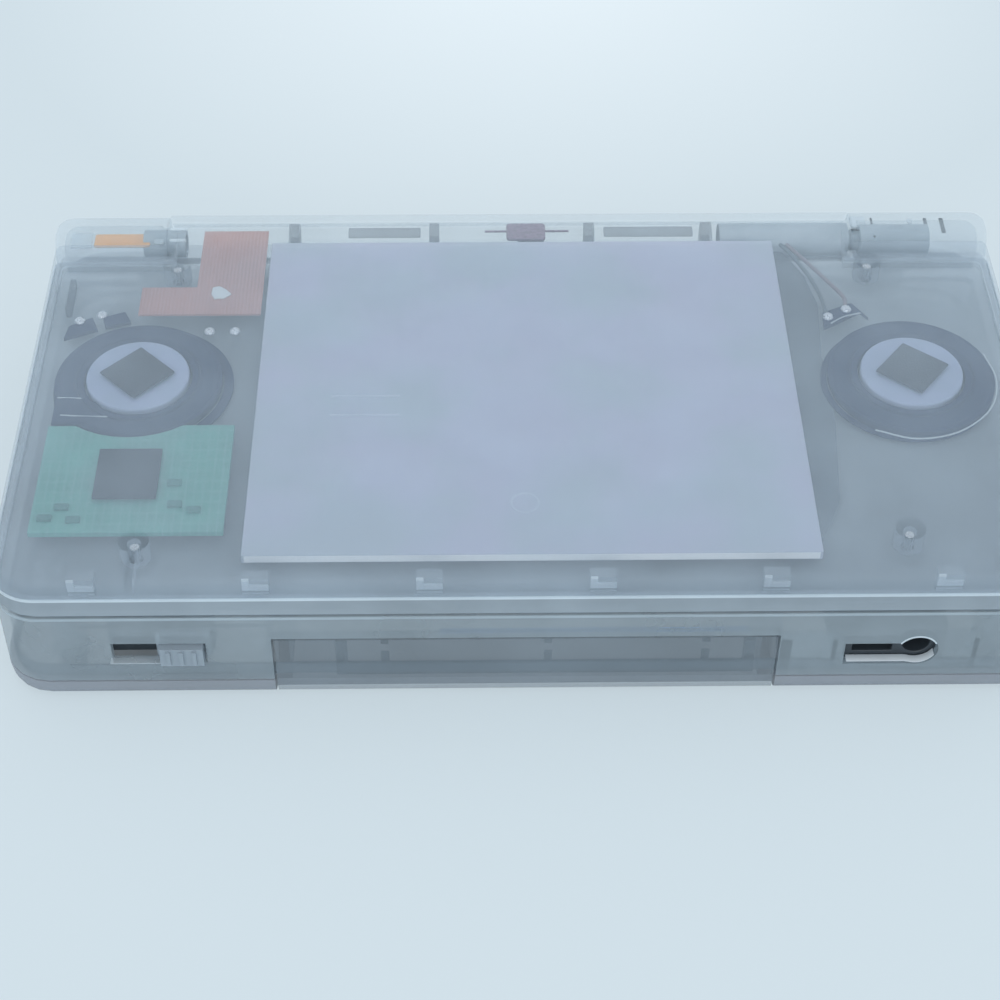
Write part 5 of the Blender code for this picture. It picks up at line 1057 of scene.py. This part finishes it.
@dataclass
class Speaker:
    """One speaker: its frame, a dark gasket that also stands for a painted shadow of the ring, its surround,
    magnet and diamond pad, and its solder tabs.

    The offset and radius of the gasket and its painted shadow are in metres. The solder, the tabs and the
    paths of the painted highlights are given in millimetres.
    """

    shop: Workshop
    side: str
    gasket_offset: Span
    gasket_radius: float
    solder_places: Outline
    tabs: tuple[Outline, ...]
    beads: tuple[Outline, ...]
    surround_inner: float = 8.4 * MM
    surround_outer: float = 10.7 * MM
    surround_rise: float = 0.18 * MM
    gasket_low: float = 17.42 * MM
    gasket_high: float = 17.7 * MM
    tab_low: float = 18.0 * MM
    tab_high: float = 18.6 * MM
    solder_radius: float = 0.75 * MM
    bead_radius: float = 0.11 * MM
    solder_height: float = 0.5 * MM
    ledge_rise: float = 1.1 * MM
    frame_bevel: float = 0.1 * MM
    magnet_bevel: float = 0.2 * MM
    pad_bevel: float = 0.08 * MM
    steps: int = 72

    def build(self) -> None:
        """Dresses the speaker and adds the surround, the gasket with its painted shadow and the tabs."""
        side = self.side
        self.shop.refined(f"speaker_frame_{side}", "speaker", Slot.SPEAKER, self.frame_bevel)
        self.shop.refined(f"speaker_magnet_{side}", "magnet", Slot.MAGNET, self.magnet_bevel)
        self.shop.refined(f"speaker_pad_{side}", "foam", Slot.FOAM, self.pad_bevel)
        low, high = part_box(f"speaker_frame_{side}")
        centre = (low + high) / 2
        turn = np.linspace(0, math.pi, 11)
        half = (self.surround_outer - self.surround_inner) / 2
        reach = self.surround_inner + half - half * np.cos(turn)
        roll = np.column_stack((reach, self.surround_rise * np.sin(turn)))
        ring = revolved(roll, (centre.x, centre.y, low.z + self.ledge_rise), self.steps, ring=True)
        self.shop.piece(f"speaker_surround_{side}", Body.LID, "speaker", Slot.SPEAKER, ring)
        # The gasket is wider than the frame and set off to one side: a dark ring for the speaker's ring
        # together with its painted shadow.
        inner, outer, rise = self.surround_outer, self.gasket_radius, self.gasket_high - self.gasket_low
        profile = ((inner, 0), (outer, 0), (outer, rise), (inner, rise))
        foot = (centre.x + self.gasket_offset[0], centre.y + self.gasket_offset[1], self.gasket_low)
        washer = revolved(profile, foot, self.steps, ring=True)
        self.shop.piece(f"speaker_gasket_and_shadow_{side}", Body.LID, "speaker", Slot.SPEAKER, washer)
        self.terminals()

    def terminals(self) -> None:
        """The solder tabs, the blobs of solder, and pale lines round the speaker, which are painted
        highlights on the edges of its lugs.
        """
        side, level = self.side, self.tab_high
        tabs = joined(*(plank(np.asarray(outline) * MM, self.tab_low, level) for outline in self.tabs))
        self.shop.piece(f"speaker_tabs_{side}", Body.LID, "speaker", Slot.SPEAKER, tabs, self.pad_bevel)
        spots = [(x * MM, y * MM, level) for x, y in self.solder_places]
        blobs = joined(*(dome(spot, self.solder_radius, self.solder_height) for spot in spots))
        self.shop.piece(f"speaker_solder_{side}", Body.LID, "solder", Slot.BRIGHT, blobs)
        # Pale wires in the highlight finish: painted highlights along edges round the speaker.
        paths = [[(x * MM, y * MM, level) for x, y in stops] for stops in self.beads]
        beads = joined(*(wire(path, self.bead_radius, 24, 8) for path in paths))
        self.shop.piece(f"speaker_edge_highlights_{side}", Body.LID, "edge", Slot.SHELL, beads)


@dataclass
class Leads:
    """The thin leads from the hinge to the right speaker, and the film that lies beside the plate."""

    shop: Workshop
    level: float = 18.5
    radius: float = 0.28 * MM
    dark_stops: Outline = ((37.0, 31.0), (38.4, 28.6), (40.4, 23.6), (41.5, 19.2), (41.9, 15.2))
    red_stops: Outline = ((37.9, 31.0), (40.2, 27.2), (42.6, 23.0), (44.7, 19.0), (44.6, 16.8))
    film_outline: Outline = (
        (36.0, 31.0),
        (37.2, 31.0),
        (40.0, 24.8),
        (41.2, 18.4),
        (40.4, 8.0),
        (40.6, -6.0),
        (39.4, -20.0),
        (36.0, -28.0),
    )
    film_z: Span = (17.42, 17.5)

    def build(self) -> None:
        """Makes the film and the two leads."""
        low, high = self.film_z
        film = plank(np.asarray(self.film_outline) * MM, low * MM, high * MM)
        self.shop.piece("side_film", Body.LID, "web", Slot.SHELL, film)
        for name, finish, stops in (
            ("speaker_lead_dark", "dark_lead", self.dark_stops),
            ("speaker_lead_red", "red_lead", self.red_stops),
        ):
            path = [(x * MM, y * MM, self.level * MM) for x, y in stops]
            self.shop.piece(name, Body.LID, finish, Slot.DARK, wire(path, self.radius))


@dataclass
class AntennaBoard:
    """The small antenna board with its chip and its row of small parts."""

    shop: Workshop
    bevel: float = 0.08 * MM
    part_half_width: float = 0.9
    part_half_depth: float = 0.5
    part_height: float = 0.35 * MM
    part_corner: float = 0.1 * MM
    part_edge: float = 0.05 * MM
    part_places: Outline = (
        (-58.7, -22.4),
        (-60.6, -24.3),
        (-57.0, -24.6),
        (-44.6, -22.0),
        (-42.2, -23.0),
        (-45.0, -18.2),
    )

    def build(self) -> None:
        """Dresses the board and its chip, and adds the small parts."""
        self.shop.refined("antenna_board", "antenna", Slot.BOARD, self.bevel)
        self.shop.refined("antenna_chip", "chip", Slot.DARK, self.bevel)
        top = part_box("antenna_board")[1].z
        wide, deep = self.part_half_width, self.part_half_depth
        parts = []
        for x, y in self.part_places:
            low = ((x - wide) * MM, (y - deep) * MM, top)
            high = ((x + wide) * MM, (y + deep) * MM, top + self.part_height)
            parts.append(slab(low, high, self.part_corner, self.part_edge, 3))
        self.shop.piece("antenna_small_parts", Body.LID, "small_part", Slot.DARK, joined(*parts))


@dataclass
class Hinge:
    """The hinge's metal, the barrel's webs, dark slabs that are painted shade in its hollows, the
    microphone's boot, and what lies in the ears, where near-black slabs are painted shade in the notches.

    The tables give the low and the high place of small parts along X, Y and Z, in millimetres.
    """

    shop: Workshop
    metal_bevel: float = 0.1 * MM
    microphone_bevel: float = 0.15 * MM
    web_places_x: tuple[float, ...] = (-32.7 * MM, -12.6 * MM, 9.7 * MM, 26.6 * MM)
    web_radius: float = 2.75 * MM
    web_hole: float = 0.9 * MM
    web_half_width: float = 0.7 * MM
    web_steps: int = 32
    # Dark slabs under the barrel's front: painted shade in its hollows.
    recesses: tuple[Block, ...] = (
        ((-25.0, -14.6), (33.3, 35.2), (18.0, 18.5)),
        ((11.9, 24.8), (33.3, 35.2), (18.0, 18.5)),
    )
    boot: Block = ((-2.2, 3.4), (31.6, 35.2), (18.65, 19.2))
    boot_corner: float = 0.5
    boot_lead: tuple[Point, Point] = ((-5.3, 33.9, 18.7), (6.8, 33.9, 18.7))
    boot_lead_radius: float = 0.16 * MM
    ear_flex: Block = ((-61.3, -53.3), (30.6, 33.5), (18.6, 18.9))
    ear_flex_corner: float = 0.4
    left_ear_pads: tuple[Block, ...] = (
        ((-64.7, -61.6), (30.5, 33.8), (18.6, 18.9)),
        ((-52.7, -51.3), (30.9, 33.1), (18.9, 19.2)),
    )
    barrel_bars: tuple[Block, ...] = (
        ((-50.3, -47.9), (32.1, 32.6), (20.5, 20.7)),
        ((-50.3, -47.9), (30.1, 30.7), (20.0, 20.2)),
    )
    side_rib: Block = ((-63.5, -62.7), (16.5, 23.0), (17.6, 19.2))
    right_ear_catches: tuple[Block, ...] = (
        ((47.6, 49.8), (33.6, 36.0), (19.2, 19.5)),
        ((48.8, 50.4), (32.2, 32.7), (19.2, 19.5)),
        ((55.9, 56.7), (34.5, 35.5), (19.2, 19.5)),
        ((54.1, 54.8), (32.0, 33.7), (19.2, 19.5)),
        ((56.9, 58.0), (31.7, 33.7), (19.2, 19.5)),
    )
    # Near-black slabs: painted shade in the notches of the right ear.
    right_ear_notches: tuple[tuple[Block, float], ...] = (
        (((47.5, 50.2), (32.9, 33.3), (19.2, 19.4)), 0.15),
        (((50.6, 50.9), (31.4, 35.8), (19.2, 19.4)), 0.1),
        (((58.3, 58.8), (32.3, 35.7), (19.2, 19.4)), 0.15),
        (((60.6, 61.2), (32.3, 35.7), (19.2, 19.4)), 0.15),
    )

    def build(self) -> None:
        """Dresses the hinge and adds what shows inside it."""
        for node in ("hinge_cartridge", "hinge_axle", "hinge_bush"):
            self.shop.refined(node, "sleeve", Slot.BRIGHT, self.metal_bevel)
        self.shop.refined("microphone", "dark", Slot.DARK, self.microphone_bevel)
        self.webs()
        ends = [tuple(place * MM for place in end) for end in self.boot_lead]
        boot = joined(tablet(*self.boot, self.boot_corner), wire(ends, self.boot_lead_radius, 12))
        notches = joined(*(tablet(*block, corner) for block, corner in self.right_ear_notches))
        for name, body, finish, slot, surface in (
            ("barrel_recess_shades", Body.LID, "web", Slot.SHELL, tablets(self.recesses)),
            ("microphone_boot", Body.LID, "mauve", Slot.RUBBER, boot),
            ("hinge_flex", Body.BASE, "orange", Slot.FLEX, tablet(*self.ear_flex, self.ear_flex_corner)),
            ("left_ear_pads", Body.BASE, "edge", Slot.SHELL, tablets(self.left_ear_pads)),
            ("barrel_end_bars", Body.LID, "edge", Slot.SHELL, tablets(self.barrel_bars)),
            ("lid_side_rib", Body.LID, "web", Slot.SHELL, tablet(*self.side_rib)),
            ("right_ear_catches", Body.BASE, "edge", Slot.SHELL, tablets(self.right_ear_catches)),
            ("right_ear_notches", Body.BASE, "frame", Slot.SHELL, notches),
        ):
            self.shop.piece(name, body, finish, slot, surface)

    def webs(self) -> None:
        """Rings across the inside of the barrel: a washer turned about the hinge line."""
        axis = middle("hinge_cartridge")
        angle = np.linspace(0, 2 * math.pi, self.web_steps, endpoint=False)
        hole, rim = self.web_hole, self.web_radius
        rings = []
        for x in self.web_places_x:
            rows = []
            for radius, side in ((hole, -1), (rim, -1), (rim, 1), (hole, 1)):
                across = np.full(len(angle), x + side * self.web_half_width)
                y, z = axis.y + radius * np.cos(angle), axis.z + radius * np.sin(angle)
                rows.append(np.column_stack((across, y, z)))
            rings.append(lattice(np.stack(rows), closed=True))
        self.shop.piece("barrel_webs", Body.LID, "web", Slot.SHELL, joined(*rings))


@dataclass
class FrontBay:
    """What shows in the front wall: the cover's ribbed frame with a painted shadow as its lowest board, a
    strip, ribs, and pale strips that are painted highlights on the edges of the socket's mouth and the volume
    slot.

    The places are in millimetres. A board is its left, lower, right and upper place in X and Z.
    """

    shop: Workshop
    connector_bevel: float = 0.1 * MM
    frame_bevel: float = 0.06 * MM
    left_x: float = -24.6
    right_x: float = 28.0
    front_y: float = -35.4
    depth: float = 0.4
    low_z: float = 2.3
    sill_z: float = 4.4
    stub_z: float = 6.4
    high_z: float = 8.5
    mark_height: float = 0.4
    bar: float = 1.5
    stub: float = 1.0
    stub_places_x: tuple[float, ...] = (-18.4, 2.0, 21.8)
    strip: Block = ((-11.5, 27.2), (-35.4, -34.9), (10.0, 10.45))
    strip_corner: float = 0.1
    ribs: tuple[Board, ...] = (
        (31.1, 2.8, 32.5, 8.8),
        (33.9, 2.4, 34.6, 3.6),
        (37.6, 3.4, 38.2, 8.8),
        (55.3, 3.4, 55.9, 8.8),
    )
    ribs_y: Span = (-35.75, -35.66)
    carriers: tuple[Board, ...] = ((31.0, 3.4, 37.7, 10.0), (51.8, 3.4, 55.8, 10.0))
    carriers_y: Span = (-35.6, -35.3)
    mouth_left_x: float = 39.35
    mouth_level_end: float = 1.4
    mouth_centre: Span = (48.0, 8.0)
    mouth_radius: float = 2.42
    mouth_floor_z: float = 5.84
    mouth_y: float = -36.3
    mouth_floor_profile: tuple[float, float, float] = (0.08 * MM, 1.1 * MM, 0.03 * MM)
    mouth_turn: Span = (250, 335)
    edge_turn: Span = (30, 150)
    edge_gap: float = 0.1
    edge_y: float = -36.93
    edge_radius: float = 0.12 * MM
    edge_steps: int = 16
    slot_floor: Block = ((-52.6, -45.9), (-36.85, -35.8), (6.36, 6.46))
    slot_floor_corner: float = 0.1

    def build(self) -> None:
        """Dresses the connector and adds the frame, the strip, the ribs and the painted highlights on the
        edges.
        """
        self.shop.refined("cartridge_connector", "dark", Slot.DARK, self.connector_bevel)
        left, right, sill, top = self.left_x, self.right_x, self.sill_z, self.high_z
        # The lowest board is a painted shadow of the gap under the cover's inner bottom; the bars and stubs
        # are the cover's inner ribs.
        boxes = [
            (left, self.low_z, right, sill),
            (left, sill, left + self.bar, top),
            (right - self.bar, sill, right, top),
        ]
        for x in self.stub_places_x:
            near, far = x - self.stub / 2, x + self.stub / 2
            boxes += [(near, sill, far, self.stub_z), (near, top - self.mark_height, far, top)]
        frame = boards(boxes, self.front_y, self.front_y + self.depth)
        self.shop.piece("dust_cover_frame", Body.DUST_COVER, "frame", Slot.DARK, frame, self.frame_bevel)
        strip = tablet(*self.strip, self.strip_corner)
        self.shop.piece("bay_blue_strip", Body.BASE, "blue", Slot.DARK, strip)
        ribs = boards(self.ribs, *self.ribs_y)
        self.shop.piece("front_wall_ribs", Body.BASE, "frame", Slot.SHELL, ribs)
        carriers = boards(self.carriers, *self.carriers_y)
        self.shop.piece("socket_carriers", Body.BASE, "web", Slot.SHELL, carriers)
        self.mouth()

    def around(self, radius: float, turn: Span, count: int) -> Array:
        """Points in X and Z round the mouth's round end: its centre plus the radius in each direction."""
        angle = np.radians(np.linspace(*turn, count))
        return np.array(self.mouth_centre) + radius * np.column_stack((np.cos(angle), np.sin(angle)))

    def upright(self, flat: Array, y: float) -> Array:
        """Points in X and Z as a path at one place along Y, in metres."""
        return np.column_stack((flat[:, 0], np.full(len(flat), y), flat[:, 1])) * MM

    def mouth(self) -> None:
        """Pale strips on the floors of the socket's mouth and of the volume slot and along the edge over the
        round end: painted highlights where these edges catch the light.

        The mouth's floor runs level and then up the round end.
        """
        floor_z = self.mouth_floor_z
        level = [(self.mouth_left_x, floor_z), (self.mouth_centre[0] - self.mouth_level_end, floor_z)]
        flat = np.vstack((level, self.around(self.mouth_radius, self.mouth_turn, 14)))
        profile = oblong_profile(*self.mouth_floor_profile)
        floor = swept(self.upright(flat, self.mouth_y), profile, up=(0, 1, 0))
        floors = joined(floor, tablet(*self.slot_floor, self.slot_floor_corner))
        # The pale floors are painted highlights of the lit lower edges.
        self.shop.piece("mouth_floor_highlights", Body.BASE, "pale", Slot.SHELL, floors)
        flat = self.around(self.mouth_radius + self.edge_gap, self.edge_turn, self.edge_steps)
        path = self.upright(flat, self.edge_y)
        edge = swept(path, circle_profile(self.edge_radius, 8), up=(0, 1, 0))
        # Painted highlight along the edge over the mouth's round end.
        self.shop.piece("mouth_edge_highlight", Body.BASE, "edge", Slot.SHELL, edge)


@dataclass
class Inside:
    """The pieces deep in the base and the controls on its face, which show when the lid is open.

    The first table gives a node's finish, slot and bevel, the second the nodes that only get a finish.
    """

    shop: Workshop
    moulded: tuple[tuple[str, str, Slot, float], ...] = (
        ("action_button_right", "button", Slot.BUTTON, 0.15 * MM),
        ("action_button_left", "button", Slot.BUTTON, 0.15 * MM),
        ("action_button_back", "button", Slot.BUTTON, 0.15 * MM),
        ("action_button_front", "button", Slot.BUTTON, 0.15 * MM),
        ("start_button", "button", Slot.BUTTON, 0.12 * MM),
        ("select_button", "button", Slot.BUTTON, 0.12 * MM),
        ("dpad", "button", Slot.BUTTON, 0.3 * MM),
        ("battery", "wrap", Slot.WRAP, 0.3 * MM),
        ("card_slot", "bright", Slot.BRIGHT, 0.0),
        ("charge_socket", "dark", Slot.DARK, 0.1 * MM),
        ("headphone_jack", "dark", Slot.DARK, 0.1 * MM),
        ("stylus", "pale", Slot.SHELL, 0.1 * MM),
    )
    dressed: tuple[tuple[str, tuple[str, ...]], ...] = (
        ("button", ("dpad_pivot",)),
        ("rubber", ("dpad_membrane", "action_membrane")),
        ("board", ("main_board",)),
        ("glass", ("lower_display",)),
        ("touch", ("touch_panel",)),
        ("dark", ("volume_switch", "power_switch")),
    )
    steel_words: tuple[str, ...] = ("screw", "trigger_pin", "spring")

    def build(self) -> None:
        """Dresses each node."""
        for node, finish, slot, bevel in self.moulded:
            self.shop.refined(node, finish, slot, bevel)
        for finish, nodes in self.dressed:
            self.shop.dress(finish, *nodes)
        steel = [name for name in FRAME["nodes"] if any(word in name for word in self.steel_words)]
        self.shop.dress("bright", *steel)


@dataclass
class Stage:
    """The pale table, the soft light and the camera of the photograph."""

    camera_place: Point = (-7.228 * MM, -205.936 * MM, 205.803 * MM)
    pitch: float = math.radians(45.286)
    yaw: float = math.radians(-1.042)
    roll: float = math.radians(0.357)
    focal_share: float = 2.08737
    sensor: float = 36.0
    floor_half: float = 2.0
    floor_near: Colour = (0.655, 0.755, 0.81)
    # The colour at the centre of the painted window reflection on the table.
    floor_far: Colour = (0.86, 0.95, 1.0)
    glow_spot: Point = (0.005, 0.15, 0.0)
    glow_reach: float = 0.10
    lit_share: float = 0.65
    sky_colour: Colour = (0.90, 0.95, 1.0)
    sky_strength: float = 0.92
    lamp_place: Point = (0.0, -0.9, 0.5)
    lamp_size: Span = (1.2, 0.8)
    lamp_power: float = 3.0
    lamp_colour: Colour = (0.95, 0.98, 1.0)
    floor_drop: float = 0.05 * MM
    grain_size: float = 3 * MM
    grain_stretch: Point = (0.06, 1, 1)
    floor_roughness: Span = (0.45, 0.6)
    clip_start: float = 10 * MM

    def build(self) -> None:
        """Sets up the view, the floor and the light."""
        self.camera()
        self.floor()
        self.light()
        bpy.context.scene.view_settings.view_transform = "Standard"

    def camera(self) -> None:
        """The camera: looking along +Y, pitched down, yawed about Z and rolled about its own view line."""
        forward = Vector((0, math.cos(self.pitch), -math.sin(self.pitch)))
        turn = Matrix.Rotation(self.yaw, 3, "Z")
        forward = turn @ forward
        right = turn @ Vector((1, 0, 0))
        up = right.cross(forward)
        c, s = math.cos(self.roll), math.sin(self.roll)
        right, up = right * c + up * s, up * c - right * s
        lens = bpy.data.cameras.new("camera")
        lens.sensor_width = self.sensor
        lens.lens = self.focal_share * self.sensor
        lens.clip_start = self.clip_start
        view = bpy.data.objects.new("camera", lens)
        axes = Matrix((right, up, -forward)).transposed()
        view.matrix_world = Matrix.Translation(self.camera_place) @ axes.to_4x4()
        bpy.context.scene.collection.objects.link(view)
        bpy.context.scene.camera = view

    def floor(self) -> None:
        """A pale level table with a faint grain along X and a painted reflection of a window, paler round a
        spot behind the console, lit in part by itself.
        """
        half = self.floor_half
        mesh = bpy.data.meshes.new("floor")
        corners = [(-half, -half, 0), (half, -half, 0), (half, half, 0), (-half, half, 0)]
        mesh.from_pydata(corners, [], [(0, 1, 2, 3)])
        book = NodeBook("pale_table")
        # Painted reflection of a window: the table turns paler towards one spot.
        window_reflection = book.nearness(self.glow_spot, self.glow_reach)
        colour = book.tones(window_reflection, self.floor_near, self.floor_far, 0, 1)
        book.feed("Base Color", colour)
        grain = book.noise(self.grain_size, 3, self.grain_stretch)
        book.feed("Roughness", book.span(grain, *self.floor_roughness))
        lit = book.add("ShaderNodeEmission", {"Color": colour}).outputs["Emission"]
        seen = book.add("ShaderNodeLightPath", {}).outputs["Is Camera Ray"]
        share = book.span(seen, 0, self.lit_share, 0, 1)
        mixed = book.add("ShaderNodeMixShader", {0: share, 1: book.shader.outputs["BSDF"], 2: lit})
        book.tree.links.new(mixed.outputs["Shader"], book.tree.nodes["Material Output"].inputs["Surface"])
        mesh.materials.append(book.material)
        floor = bpy.data.objects.new("floor", mesh)
        floor.location.z = CAD_BOX[0].z - self.floor_drop
        bpy.context.scene.collection.objects.link(floor)

    def light(self) -> None:
        """An even sky, and a wide soft lamp in front of the console."""
        world = bpy.data.worlds.new("sky")
        world.use_nodes = True
        sky = world.node_tree.nodes["Background"]
        sky.inputs["Color"].default_value = (*self.sky_colour, 1)
        sky.inputs["Strength"].default_value = self.sky_strength
        bpy.context.scene.world = world
        lamp = bpy.data.lights.new("front", "AREA")
        lamp.shape = "RECTANGLE"
        lamp.size, lamp.size_y = self.lamp_size
        lamp.energy = self.lamp_power
        lamp.color = self.lamp_colour
        stand = bpy.data.objects.new("front", lamp)
        stand.location = self.lamp_place
        stand.rotation_euler = (-Vector(self.lamp_place)).to_track_quat("-Z", "Y").to_euler()
        bpy.context.scene.collection.objects.link(stand)


SPEAKERS = (
    (
        "left",
        (0.7 * MM, -0.5 * MM),
        12.0 * MM,
        ((-61.2, 14.6), (-58.3, 15.8), (-43.2, 12.2), (-39.7, 12.2)),
        (
            ((-63.0, 11.0), (-58.6, 12.9), (-59.6, 15.4), (-62.6, 13.6)),
            ((-57.6, 13.4), (-54.2, 14.4), (-55.2, 16.6), (-58.2, 15.4)),
            ((-62.4, -6.0), (-55.0, -6.4), (-56.6, -2.0), (-62.4, 0.4)),
        ),
        (((-62.2, -1.0), (-60.4, -1.1), (-58.6, -1.2)), ((-61.4, -4.4), (-57.6, -4.7), (-53.6, -4.7))),
    ),
    (
        "right",
        (-0.6 * MM, -0.5 * MM),
        11.5 * MM,
        ((42.0, 14.6), (44.7, 16.2)),
        (((41.2, 12.4), (46.6, 15.8), (47.6, 14.4), (45.6, 17.6), (41.4, 15.6)),),
        (
            ((42.2, 13.2), (44.2, 14.6), (46.6, 15.4)),
            ((45.4, -8.2), (50.6, -9.9), (56.4, -8.6), (61.2, -4.3), (63.0, 1.4), (62.2, 6.6)),
        ),
    ),
)


def main() -> None:
    """Builds the console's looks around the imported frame."""
    logging.basicConfig(level=logging.INFO, format="%(message)s")
    shop = Workshop()
    Stage().build()
    Shells(shop).build()
    LidDisplay(shop).build()
    for side, offset, radius, solder_places, tabs, beads in SPEAKERS:
        Speaker(shop, side, offset, radius, solder_places, tabs, beads).build()
    Leads(shop).build()
    AntennaBoard(shop).build()
    Hinge(shop).build()
    FrontBay(shop).build()
    Inside(shop).build()


if __name__ == "__main__":
    main()
